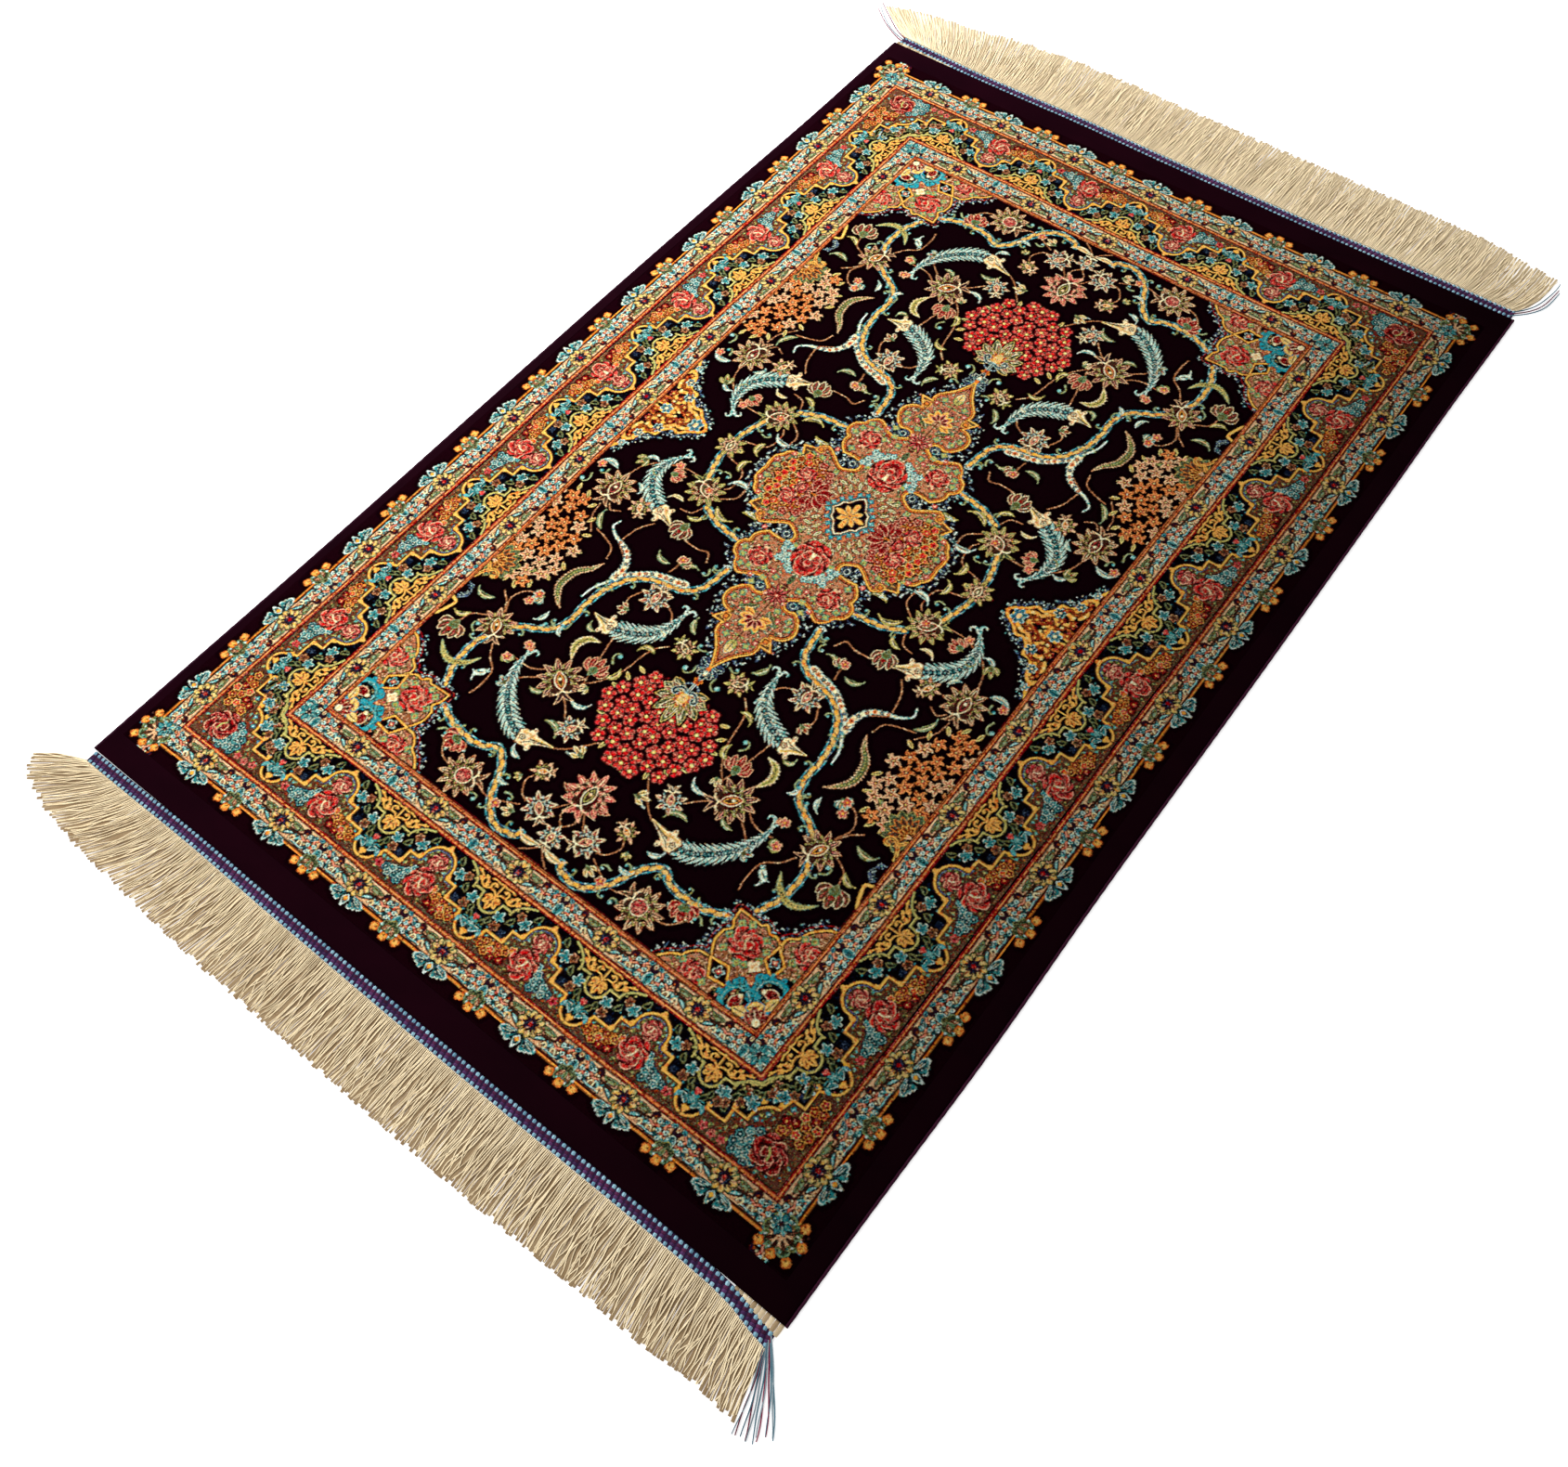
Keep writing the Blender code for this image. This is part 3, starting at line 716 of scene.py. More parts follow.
# Layout of the borders. Nested boxes from the outside in: half width, half length, dye
BOXES = (
    (368.4, 579.4, "orange"), (366.7, 577.5, "maroon"), (365.4, 576.1, "beige"),
    (345.5, 555.5, "crimson"), (343.9, 553.9, "copper"),
    (342.6, 552.5, "crimson"), (340.9, 550.7, "black"),
    (278.5, 489.5, "crimson"), (276.9, 487.9, "copper"),
    (275.6, 486.5, "crimson"), (274.0, 484.9, "beige"),
    (253.6, 464.1, "crimson"), (252.2, 462.6, "copper"),
    (251.1, 461.5, "crimson"), (250.0, 460.4, "copper"),
    (249.6, 460.0, "maroon"), (248.7, 458.8, "ground"),
)
INNER_GUARD = (253.6, 464.1)
OUTER_GUARD = (345.5, 555.5)
MAIN_BORDER = (278.5, 489.5)
GUARD_STEP = {"short": 100.4, "long": 103.6}
LOBE_STEP = {"short": 121.6, "long": 129.6}
LINE_DYE = "gold"
# Edge and body of the small flowers in a heap
WARM_PETALS = (("gold", "crimson"), ("orange", "crimson"), ("salmon", "crimson"), ("yellow", "red"))
COLD_PETALS = (("ice", "turquoise"), ("aqua", "teal"))


def edge_frame(side, corner, along):
    """Frame on one side of the rug: +x runs towards the corner and +y outwards."""
    if side == "short":
        return Frame(along + 1j * corner[1])
    return Frame(corner[0] + 1j * along, 1j, True)


def guard_flower(frame, crowned):
    """The straw flower of the guards, with leaves beside it and, outside, a crown over the edge."""
    for own in frame.pair():
        own.blade(11+3.4j, 24+4.6j, 5.4, "sage", "green", "leaf", bend=0.14)
        own.blade(12+7j, 21.5+7.4j, 3.8, "brown", "sage", bend=-0.12)
        own.blade(9+17.6j, 19.5+12j, 3.8, "umber", "aqua", "ice", bend=-0.1)
        own.blade(20+15.8j, 26.5+10.4j, 4.2, "umber", "aqua", "ice", bend=0.12)
        own.stroke([17.5+17j, 20+13.6j, 22.4+15.4j, 21+18j], 1.5, "cream")
        own.stroke([13+10j, 19+9.8j, 25+8.8j, 28.6+9.4j], 0.8, "umber")
    if crowned:
        for own in frame.pair():
            wing = [0.6+19.4j, 8+20.6j, 14.5+21.2j, 18.8+24j, 18.6+27j, 16+28.8j, 14+28.4j, 13+30.6j,
                    10.4+30.2j, 9.4+31.8j, 6.6+32.2j, 5.2+29.6j, 4.6+26j]
            own.fill(wing, "ice")
            own.fill(np.array(wing) * 0.86 + 1.0 + 3.4j, "turquoise")
            own.fill([2.5+21j, 8+22j, 14+22.6j, 16+25.2j, 13+26.6j, 9+28j, 5+25j], "teal")
            for stem, tip in ((6+22j, 13.6+23.4j), (8.4+24j, 15.6+26j), (7.6+26j, 11.8+28.6j)):
                own.line([stem, tip], 0.9, "ice", taper=0.4)
            own.stroke([0.4+19j, 5+22.6j, 10.6+27.6j], 1.9, "navy", taper=0.4)
            own.fill([0, 2.2+20.6j, 5.2+25.6j, 5.6+28.6j, 3.6+31.4j, 1+33j, 0+33j], "plum")
            own.fill([0+21.6j, 3.8+25.4j, 2.8+28.6j, 0.8+33.4j, 0+33.6j], "ice")
            own.fill([0+23j, 2.6+25.6j, 1.8+29j, 0+31.4j], "teal")
        frame.at(25.8j, 1j).ring(4, 2.2, "gold", 0.3)
    heart = frame.at(9.9j, 1j)
    heart.ring(10, 12.2, "olive", 0.26, 0.8, 15)
    heart.ring(10, 11.2, "straw", 0.30, 0.8, 15)
    for k in range(20):
        ray = turn(6 + 18 * k)
        dye = ("gold", "beige", "olive", "yellow", "tan")[k % 5]
        heart.blade(3.2 * ray, (10.8 - 1.4 * (k % 2)) * ray, 1.5, dye)
    heart.ring(9, 7.8, "violet", 0.62, 1.3)
    heart.ring(9, 5.8, "navy", 0.60, 1.3, 20)
    heart.ring(5, 2.4, "crimson", 0.45, 1.2, 30)
    heart.disc(3.8, 0.9, "pink")


def guard_spray(frame, crowned, half_step):
    """The work between two guard flowers: dark pods, rust zigzags, and a turquoise bud on the axis."""
    for own in frame.pair():
        zigzag = [7.4+4.2j, 10.4+6.8j, 6.6+12.4j, 11.6+13.2j, 15.6+9.4j, 19.8+11.8j, 23.6+9.6j,
            26.4+13.8j]
        own.line(zigzag, 2.4, "rust")
        own.line(zigzag, 1.3, "pink")
        own.stroke([18+16.6j, 20+13.4j, 22.6+14.2j, 22.4+17j], 1.4, "cream")
        low = [5+17.6j, 10+15.6j, 14.6+17.2j, 19+18.4j, 26+17.6j, half_step - 21 + 18.2j]
        own.stroke(low, 1.7, "turquoise")
        own.stroke(low, 0.8, "ice")
        own.blade(18.8+1.8j, 24.0+8.0j, 5.4, "maroon", "violet", bend=-0.12)
        own.disc(21.4+5.2j, 1.1, "rust")
        own.blade(19+7j, 9.6+2.2j, 5.0, "aqua", "teal", "ice", bend=-0.14)
        own.blade(2.6+0.8j, 7.6+3.4j, 3.2, "aqua", "teal")
        for place in (7.2+10.6j, 13.4+12.2j, 10.4+17.4j, 24.6+12.6j, 16.6+6.2j):
            own.at(place).ring(3, 2.7, "umber", 0.36, start=17 * place.real)
            own.at(place).ring(3, 2.3, "ice", 0.30, start=17 * place.real)
            own.disc(place, 0.8, "teal")
        own.blade(24.6+15.6j, 30.4+10j, 3.4, "umber", "aqua", bend=0.1)
        for place, dye in ((4.4+9.8j, "cream"), (12.2+9.4j, "umber"), (16.4+13.8j, "cream"),
                (22+7.8j, "cream"), (14+4.2j, "umber"), (27.6+5.4j, "umber"), (8.4+14.8j, "cream"),
                (24.8+9j, "umber")):
            own.disc(place, 0.9, dye)
        own.at(13.6+16.2j).ring(4, 2.3, "teal")
        own.disc(27.4+16.6j, 1.0, "rose")
    frame.at(6.2j, 1j).ring(3, 4.2, "violet", 0.3, 0.8)
    frame.blade(0.6j, 5.2j, 3.2, "cream", "salmon")
    frame.blade(8.6j, 22.4j, 8.6, "ice", "turquoise", "teal", line=1.0, blunt=0.8)
    for own in frame.pair():
        own.stroke([1.6+12j, 3+15j, 1.6+18j], 0.7, "aqua")
    if crowned:
        frame.at(23.8j, 1j).ring(6, 9.4, "sage", 0.20, 0.8)
        frame.at(23.8j, 1j).ring(6, 8.6, "green", 0.26, 0.8)
        for own in frame.pair():
            own.blade(1.4+20.6j, 5.6+27j, 3.6, "tan", "beige")
            own.disc(8.6+23.6j, 1.1, "ice")
            own.disc(11+26.8j, 1.0, "cream")
            own.disc(4.4+28.6j, 0.9, "ice")
            gold_blob(own.at(12.2+28.6j, turn(20)))
        frame.blade(20j, 27.6j, 3.4, "sage", "olive")
        gold_blob(frame.at(31j, 1j))


def gold_blob(frame):
    """One gold rosette of the outer edge."""
    frame.ring(4, 4.5, "rust", 0.22, 0.8, 45)
    frame.ring(4, 4.1, "orange", 0.26, 0.8, 45)
    frame.ring(4, 2.9, "gold", 0.3, 0.8, 20)
    frame.disc(-1.6, 0.8, "umber")


def guards():
    """Both beige guard stripes, with their flowers and sprays, and the corner flowers."""
    for corner, limit, crowned in ((INNER_GUARD, 19.6, False), (OUTER_GUARD, 40.0, True)):
        CHART.confine(corner[0] + limit, corner[1] + limit)
        for side, flowers in (("short", 3 + crowned), ("long", 5 + crowned)):
            step = GUARD_STEP[side]
            for k in range(flowers):
                inner = crowned and k < flowers - 1
                guard_spray(edge_frame(side, corner, (k + 0.5) * step), inner, step / 2)
            for k in range(flowers):
                guard_flower(edge_frame(side, corner, k * step), crowned)
    heart = INNER_GUARD[0] + 9.7 + 1j * (INNER_GUARD[1] + 9.9)
    corner_flower(Frame(heart), 10.0)
    middle = facing(361.5+571.5j, 45)
    middle.ring(8, 16.5, "sage", 0.14, 0.8)
    middle.ring(8, 15.2, "green", 0.18, 0.8)
    middle.ring(8, 11.5, "beige", 0.2, 0.8, 22)
    for k in range(8):
        ray = turn(45 * k)
        middle.blade(4 * ray, 14.5 * ray, 2.2, "umber", "salmon")
        middle.blade(9 * ray * turn(22), 14 * ray * turn(22), 4.0, "sage", "olive")
        middle.disc(12.4 * ray * turn(14), 0.9, "ice")
    corner_flower(Frame(356.8+565.2j), 9.0)
    for place in (350+584.5j, 363+587j, 376.5+585j, 379.5+569.5j, 373.6+557.5j):
        gold_blob(facing(place, 45))


def corner_flower(frame, radius):
    """The turquoise flower in a guard's corner: four broad petals and four narrow ones."""
    for k in range(4):
        ray = turn(90 * k)
        frame.blade(0.2 * radius * ray, radius * ray * turn(45), radius * 0.5, "ice", "aqua")
    for k in range(4):
        ray = turn(90 * k)
        frame.blade(0.1 * radius * ray, radius * 1.05 * ray, radius * 0.66, "teal", "turquoise", "aqua")
    floret(frame, radius * 0.3, "beige", "navy", rim="navy", petals=4)


def stepped_line(half):
    """The gold line over half a lobe: round arch, two steps, and half of the valley's round dip."""
    reach = half - 60.85
    line = [*arc(21.5j, 15.6, -90, 0), 16.4+26.8j, 27.3 + reach * 0.5 + 26.8j, 27.3 + reach * 0.5 + 39.7j,
            45.6 + reach + 39.7j, 46.6 + reach + 47j, *arc(half + 45.5j, 12.2, 165, 90)]
    return np.array(line)


def lobe_flowers(frame, middle):
    """Roses and florets in a lobe: orange ones on the side of the rug's middle, turquoise beyond."""
    sprigs = (7+33j, 13+29j, 20+33j, 34+43.5j, 41+44j, 30+47j, 8+12j, 11+18j, 47+54j, 22+31j, 10+24j,
        15+35j, 24+37j, 38+52j, 3+9.5j, 12.5+21j, 37+43j, 3+31j, 17+37j, 28+41j, 33+56j, 44+50j, 50+51j,
        26+57j, 19+56.6j, 10+57j, 52+57j, 14+14j, 6+26j, 11+39j, 42+56.5j, 48+47.5j)
    for own in frame.pair():
        scatter(own, sprigs, ("sage", "leaf", "olive", "rust", "sage", "aqua"))
        own.stroke([5+57.8j, 14+56.8j, 26+58j, 38+56.8j, 50+57.8j], 0.8, "maroon")
        own.stroke([0+9j, 8.4+12j, 13+19j, 13.4+27j, 22+30j], 0.9, "slate")
    far, near = frame.pair()
    for own, warm in ((far, middle), (near, True)):
        if warm:
            patch = [12+37j, 20+40j, 32+42j, 44+45j, 46+51j, 36+56.6j, 18+56.6j, 14+47j]
            own.fill(patch, "crimson")
            heap(own, (19+44j, 24+48.5j, 19+53j, 31+50.5j, 37.5+47j, 41.5+51.5j, 27+54.6j, 14.8+39.6j,
                35+54.6j, 27+43.4j), 4.0, WARM_PETALS, "gold", "maroon")
            for place in (15+40.5j, 45+48.5j, 33+45j, 22+41j):
                own.disc(place, 1.5, "orange")
        else:
            heap(own, (16+42j, 21.5+45.5j, 17+48.5j, 23+51j, 27.5+47.5j, 17.5+54j, 29+53j, 34+50j,
                12+37j), 3.7, COLD_PETALS, "ice", "navy")
            own.at(41+51j).ring(5, 4.4, "rose")
            own.disc(41+51j, 1.6, "crimson")
    rose(frame.at(20.5j, -1j), 8.6, body="rose", edge="pink", deep="crimson", heart="cream")
    rose(frame.at(43.6j, -1j), 13.4, body="red", edge="pink", deep="crimson", heart="cream")


def maple(frame, size):
    """A turquoise maple leaf with a pale rim."""
    frame.ring(5, size, "ice", 0.5, 1.4, lean=0.15)
    frame.ring(5, size - 1.0, "turquoise", 0.52, 1.4, lean=0.15)


def valley(frame):
    """A valley of the main border: pale scalloped lappet with its gold palmette, leaves and spray."""
    for own in frame.pair():
        edge = [*arc(18.6j, 10.4, 90, 5), 11+15.2j, 21.5+15.2j, 22.6+11j, 26+6.8j, 31+3.4j, 38+0.6j]
        own.fill([0, *edge, 38], "navy")
        own.fill([0, *[z - 1.8 - 1.2j for z in edge], 34], "black")
        for bow in ([13.5j, 3.5+10j, 8+9.4j, 9.6+6.2j, 7.4+3.8j, 5+5j],
                [8.6+9.4j, 14+11.8j, 18.6+9.6j, 19+6j, 16+4.4j, 14+6.6j], [19+6j, 24+3.2j, 29+1.4j],
                [0.5j, 4+1.6j, 9+1j, 13+2j]):
            own.stroke(bow, 1.5, LINE_DYE)
        for place, size in ((13.4+9.8j, 2.4), (5.6+5j, 1.9), (14.2+6.6j, 2.2), (21.5+7j, 2.6),
                (17.6+3.6j, 2.2), (26+2j, 1.8)):
            own.at(place).ring(3, size, LINE_DYE, 0.5, start=90 * size)
        own.disc(17.4+6.2j, 0.9, "black")
        for tip in (8.2+17j, 6.8+22.8j):
            own.blade(14.6j, tip, 5.6, LINE_DYE, LINE_DYE, "black")
        own.line(edge, 1.9, "leaf")
        for place in (10.6+24j, 21.5+17.2j, 25.4+10.6j, 31.4+6.2j):
            own.disc(place, 1.1, "leaf")
        maple(own.at(15.2+25.4j, turn(-70)), 5.8)
        maple(own.at(37.4+17j, turn(-60)), 6.2)
        for stem, tip in ((8+37j, 9+28.5j), (23+26j, 27.5+17.5j), (41+10j, 46+1.5j), (3+41j, 8+33j)):
            own.blade(stem, tip, 5.6, "olive", "black", bend=0.15, line=1.2)
            own.line([stem * 0.8 + tip * 0.2, stem * 0.3 + tip * 0.7], 0.9, "green")
        for place, radius in ((31+13j, 4.4), (17.8+33.4j, 4.8)):
            floret(own.at(place), radius, "brown", "umber", rim="tan", petals=5)
        own.fill([23.5+31j, 29.5+31j, 29.5+37.2j, 23.5+37.2j], "navy")
        for place in (35.5+25.2j, 30+24j, 14+37.4j, 44+14.4j, 47.5+9j, 2.5+34.5j):
            own.disc(place, 0.95, "turquoise")
        own.blade(3+50j, 10.5+43.5j, 5.2, "ice", "turquoise", bend=-0.15)
        own.blade(12.8+50j, 10.6+42.4j, 4.6, "turquoise", "aqua")
        own.stroke([2.0+46j, 5.6+41j, 9.2+41j], 1.2, "turquoise")
    frame.blade(13.5j, 27.4j, 5.8, LINE_DYE, LINE_DYE, "black")
    frame.stroke([1j, 15j], 1.6, LINE_DYE)
    frame.disc(19j, 1.1, "crimson")
    frame.at(42.6j, 1j).ring(5, 5.4, "turquoise", 0.45, 1.2)
    frame.at(42.6j, 1j).ring(5, 3.0, "aqua", 0.45, 1.2)
    frame.at(36j, 1j).ring(3, 3.2, "rose")
    frame.at(52.6j, 1j).ring(3, 3.6, LINE_DYE, 0.45)


def main_border():
    """The wide border: its lobes with the stepped gold line, the valleys, and the corner."""
    for side, lobes in (("short", (60.8, 182.3)), ("long", (0.0, 129.6, 259.2, 388.9))):
        half = LOBE_STEP[side] / 2
        line = stepped_line(half)
        for along in lobes:
            frame = edge_frame(side, MAIN_BORDER, along)
            for own in frame.pair():
                own.fill([6j, *line, half + 61j, 61j], "brown")
            lobe_flowers(frame, along == 0)
            for own in frame.pair():
                own.line(line, 3.8, "umber")
                own.line(line, 2.1, LINE_DYE)
                for place in (17+24.5j, line[11] + 0.6 - 2.4j, line[13] - 2.5j):
                    own.at(place, -1j).ring(3, 2.6, LINE_DYE)
            frame.at(4.4j, -1j).ring(3, 3.4, LINE_DYE)
    border_corner()
    for side, valleys in (("short", (0.0, 121.6, 243.0)), ("long", (64.8, 194.4, 324.1, 453.7))):
        for along in valleys:
            valley(edge_frame(side, MAIN_BORDER, along))
    corner_lappet()


def border_corner():
    """The corner lobe of the main border, with its great rose, between the two last valleys."""
    line = [*arc(243+535j, 12.2, 90, 15), 256.2+532j, 274.4+532j, 274.4+520j, 286.4+520j,
            *arc(305.2+516.8j, 17.5, 170, 265), 307.4+487j, 319+487j, 319+469j,
            325+466.5j, *arc(324+453.7j, 12.2, 75, 0)]
    RUG.fill([*line, 340+453j, 340+550j, 243+550j], "brown")
    sprigs = (284+541j, 275+543j, 292+526j, 297+515j, 303+508j, 314+493j, 327+477j, 333+489j, 301+520j,
        331+538j, 325+545j, 337+530j, 310+500j, 262+542j, 334+466j, 283+530j, 336+520j, 336+540j,
        318+548j, 328+532j, 310+507j, 294+510j, 300+503j, 322+482j, 330+483j, 336+478j, 337+500j,
        289+523j, 279+535j, 268+540j, 259+546j, 270+547j, 290+546j, 312+514j, 306+516j, 317+488j,
        298+511j, 304+524j, 286+536j, 334+459j, 330+464j, 284+524j, 326+474j, 311+496j, 276+538j)
    scatter(RUG, sprigs, ("sage", "leaf", "olive", "rust", "turquoise", "sage", "rose"))
    heap(RUG, (330+475j, 326+484j, 332+490j, 323+492j, 328+498j, 335+503j, 320+500j, 325+507j, 332+511j,
        318+508j, 313+503j, 337+495j, 314+511j, 333+482j), 4.4, WARM_PETALS, "gold", "maroon")
    heap(RUG, (295.4+525.8j, 290+532j, 298.8+531.4j, 302+521.7j, 295+537.2j, 300.6+538j, 297.5+544.2j,
        304+546.6j, 309.8+543.8j, 289+539j, 303.4+542j, 291.5+545j), 3.9, COLD_PETALS, "ice", "navy")
    for place in (299+507j, 293+515.5j, 312+492.5j, 276+524.5j):
        Frame(place).ring(4, 2.6, "turquoise", 0.3)
        Frame(place).disc(0, 0.9, "ice")
    for place in (263+544j, 272+545.5j, 281+545j):
        Frame(place).ring(5, 4.0, "rose")
        Frame(place).disc(0, 1.2, "crimson")
    rose(facing(318+531j, -135), 15.0, body="crimson", edge="pink", deep="maroon", heart="leaf")
    RUG.line(line, 3.8, "umber")
    RUG.line(line, 2.1, LINE_DYE)
    for place in (274+517.5j, 290+501j, 306+484.5j, 257+529j, 316.6+467j, 303+495.5j):
        facing(place, -135).ring(3, 2.7, LINE_DYE)


def corner_lappet():
    """The leaves of the black band where it turns the corner, and the lappet line that joins there."""
    RUG.stroke([262+504.4j, 264.6+501j, 270+496.4j, 276+494.4j, 281.6+491j, 284+485j, 286.6+479j,
        292.6+473.5j, 294.4+466j], 1.9, "leaf")
    for place, way, size in ((284+509j, -50, 5.6), (300+489j, -40, 6.0), (262+515j, -80, 5.4),
            (312+474j, -10, 5.4)):
        maple(facing(place, way), size)
    for stem, tip in ((276+505j, 268+508j), (290+500j, 286+494j), (292+485j, 297+479j),
            (305+480j, 300+473j), (278+499j, 283+498j), (270+526j, 264+524j), (313+482j, 309+466j)):
        RUG.blade(stem, tip, 5.4, "olive", "black", bend=0.15, line=1.2)
    for place in (275+513j, 266+520j, 306+483.6j, 291+492.5j):
        floret(Frame(place), 4.2, "brown", "umber", rim="tan", petals=5)
    for place in (285+500.5j, 281+494.5j, 288+487j, 296+493j, 279+515j, 271+502j, 303+470j, 297+484j):
        Frame(place).disc(0, 1.0, "leaf")


# Layout of the field. Dyes of the flowers: edge, body and vein of each fan of petals
PETALS = {
    "mauve": (("beige", "violet", "pink"), ("leaf", "olive", "cream"), ("cream", "gold", "crimson")),
    "green": (("leaf", "green", "yellow"), ("beige", "maroon", "pink"), ("cream", "olive", "crimson")),
    "pale": (("cream", "brown", "rose"), ("ice", "green", "cream"), ("cream", "pink", "crimson")),
    "dusk": (("beige", "brown", "cream"), ("leaf", "maroon", "pink"), ("cream", "rose", "maroon")),
}
BUDS = {
    "pink": ("beige", "crimson", "pink"), "yellow": ("cream", "yellow", "umber"),
    "ice": ("ice", "green", "cream"), "olive": ("leaf", "olive", "cream"),
    "blush": ("cream", "brown", "rose"),
}
# One row for each palmette: place, direction it points in, radius, dyes, petals, round core
PALMETTES = (
    (101+312j, -40, 24.0, "mauve", 17, False), (210+112j, -90, 23.0, "dusk", 17, False),
    (136+59j, 140, 21.5, "green", 17, False), (191+304j, -60, 20.5, "mauve", 15, False),
    (104+436j, 20, 23.0, "dusk", 17, True), (91+187j, 90, 17.5, "pale", 13, False),
    (151-1j, 90, 16.5, "green", 13, False), (173+116j, -60, 13.0, "mauve", 11, False),
    (27+419j, -45, 17.0, "pale", 13, False), (33+214j, 150, 14.0, "green", 11, False),
    (59+342j, 60, 15.0, "pale", 11, False), (49+389j, 30, 12.0, "mauve", 9, False),
)
# One row for each bud or bell: stem's end, direction, length, width, dyes, petals, spread
LILIES = (
    (86+292j, -95, 24, 21, "pink", 5, 40), (121+101j, 80, 25, 22, "blush", 5, 34),
    (133+408j, 70, 20, 26, "pink", 5, 52), (224+318j, 82, 25, 26, "blush", 5, 42),
    (177+64j, 200, 17, 17, "pink", 5, 40), (76+300j, 60, 11, 9, "yellow", 3, 30),
    (30+358j, -15, 16, 12, "yellow", 3, 28), (103+214j, 20, 13, 12, "blush", 3, 34),
    (154+327j, -45, 12, 12, "olive", 3, 34), (206+60j, 60, 16, 13, "olive", 3, 30),
    (96+146j, -100, 13, 15, "blush", 5, 45), (42+434j, 20, 14, 11, "yellow", 3, 26),
    (62+403j, 60, 9, 8, "olive", 3, 30), (178+251j, 40, 13, 14, "ice", 5, 48),
    (139+345j, -20, 12, 13, "ice", 3, 40), (152+305j, 250, 10, 10, "pink", 5, 48),
)
# One row for each leaf: stem, direction, length, width, bend, dyes
LEAVES = (
    (35+197j, -60, 17, 6.0, 0.16, "olive"),
    (124+22j, -95, 16, 6.0, 0.2, "sage"), (102+35j, 10, 18, 6.0, -0.2, "ice"),
    (112+69j, 160, 21, 6.4, -0.22, "sage"), (106+150j, -15, 17, 5.6, 0.2, "olive"),
    (188+158j, -60, 22, 5.4, 0.14, "olive"), (216+280j, 0, 19, 6.0, 0.2, "olive"),
    (222+306j, 25, 15, 5.4, 0.2, "sage"), (224+90j, 0, 19, 6.0, -0.18, "ice"),
    (4+444j, 0, 21, 6.6, 0.14, "yellow"),
    (92+146j, 210, 14, 5.0, 0.2, "olive"), (128+96j, 215, 15, 5.2, -0.2, "sage"),
    (66+268j, 65, 15, 6.0, 0.3, "sage"),
    (52+236j, 20, 15, 5.0, -0.25, "sage"), (79+321j, 200, 17, 4.6, -0.2, "ice"),
    (84+350j, 160, 19, 5.4, 0.22, "olive"),
    (36+348j, 60, 16, 4.4, 0.2, "ice"), (120+333j, 200, 14, 4.8, -0.2, "olive"),
    (161+344j, 60, 17, 5.6, -0.2, "ice"),
    (136+276j, -60, 11, 4.2, 0.2, "ice"), (213+244j, -130, 14, 4.6, 0.2, "sage"),
    (121+418j, -10, 15, 4.8, 0.2, "ice"),
    (136+428j, -40, 14, 4.8, -0.2, "ice"), (66+418j, -10, 13, 4.4, 0.2, "ice"),
    (76+393j, -30, 14, 4.6, 0.2, "ice"),
    (88+60j, 175, 17, 6.0, 0.2, "sage"), (144+84j, 10, 14, 4.2, -0.2, "yellow"),
    (194+92j, 130, 12, 4.4, 0.2, "ice"),
    (209+62j, 200, 12, 4.6, 0.2, "ice"), (163+262j, 70, 14, 4.6, 0.16, "ice"),
    (113+252j, -30, 11, 4.2, 0.3, "olive"),
    (66+214j, 150, 11, 4.0, 0.25, "ice"), (175+352j, 215, 14, 5.2, -0.2, "ice"),
    (99+3j, -60, 14, 5.0, 0.2, "sage"),
)
LEAF_DYES = {
    "olive": ("sage", "olive", "cream"), "sage": ("leaf", "green", "cream"),
    "ice": ("ice", "turquoise", "cream"), "yellow": ("cream", "yellow", "olive"),
}
# Curled leaves: place, direction, size
CURLS = (
    (241+110j, 80, 13), (131+207j, -30, 13), (139+256j, 90, 12), (11+222j, 60, 14), (76+268j, -80, 12),
    (150+268j, 60, 10), (90+448j, 200, 11), (139+399j, 30, 10), (205+320j, -60, 11), (70+132j, 90, 9),
    (230+96j, 60, 9), (62+425j, 170, 9), (15+205j, 0, 9), (97+396j, 60, 9), (187+74j, -40, 9),
    (156+416j, 200, 10), (134+30j, 160, 9), (60+125j, 20, 9),
)
# Thin stems, each through its own points
TENDRILS = (
    (46+222j, 55+232j, 59+244j, 63+268j, 72+288j, 84+302j), (83+300j, 85+292j, 90+268j, 96+240j),
    (121+321j, 134+332j, 140+345j), (117+306j, 127+315j, 139+319j, 152+318j), (29+337j, 46+358j, 58+367j),
    (71+338j, 80+328j, 88+322j), (49+390j, 56+404j, 50+416j, 42+420j), (8+398j, 14+406j, 20+414j),
    (1+400j, 8+410j, 1+420j), (1+445j, 8+452j, 16+458j), (120+437j, 135+432j, 146+418j),
    (83+436j, 70+438j, 56+432j, 44+426j), (205+298j, 220+306j, 224+318j), (196+288j, 204+276j, 214+268j),
    (196+286j, 203+270j, 196+256j, 184+252j), (180+320j, 172+332j, 160+342j, 158+360j, 160+372j),
    (210+88j, 205+72j, 192+58j, 180+54j), (153+50j, 168+50j, 182+54j), (209+134j, 206+150j, 194+166j),
    (116+60j, 104+50j, 103+38j, 106+24j), (122+77j, 128+90j, 140+93j), (149+122j, 158+136j, 163+158j),
    (122+124j, 128+112j, 129+104j), (100+158j, 98+148j, 100+138j),
    (163+160j, 148+170j), (60+205j, 66+194j, 76+188j),
    (191+160j, 176+164j, 164+170j, 160+182j),
    (106+190j, 112+204j, 108+214j), (186+130j, 196+134j, 202+128j),
    (112+120j, 96+121j, 84+118j, 78+128j), (145+12j, 120+20j, 116+40j, 120+48j),
)
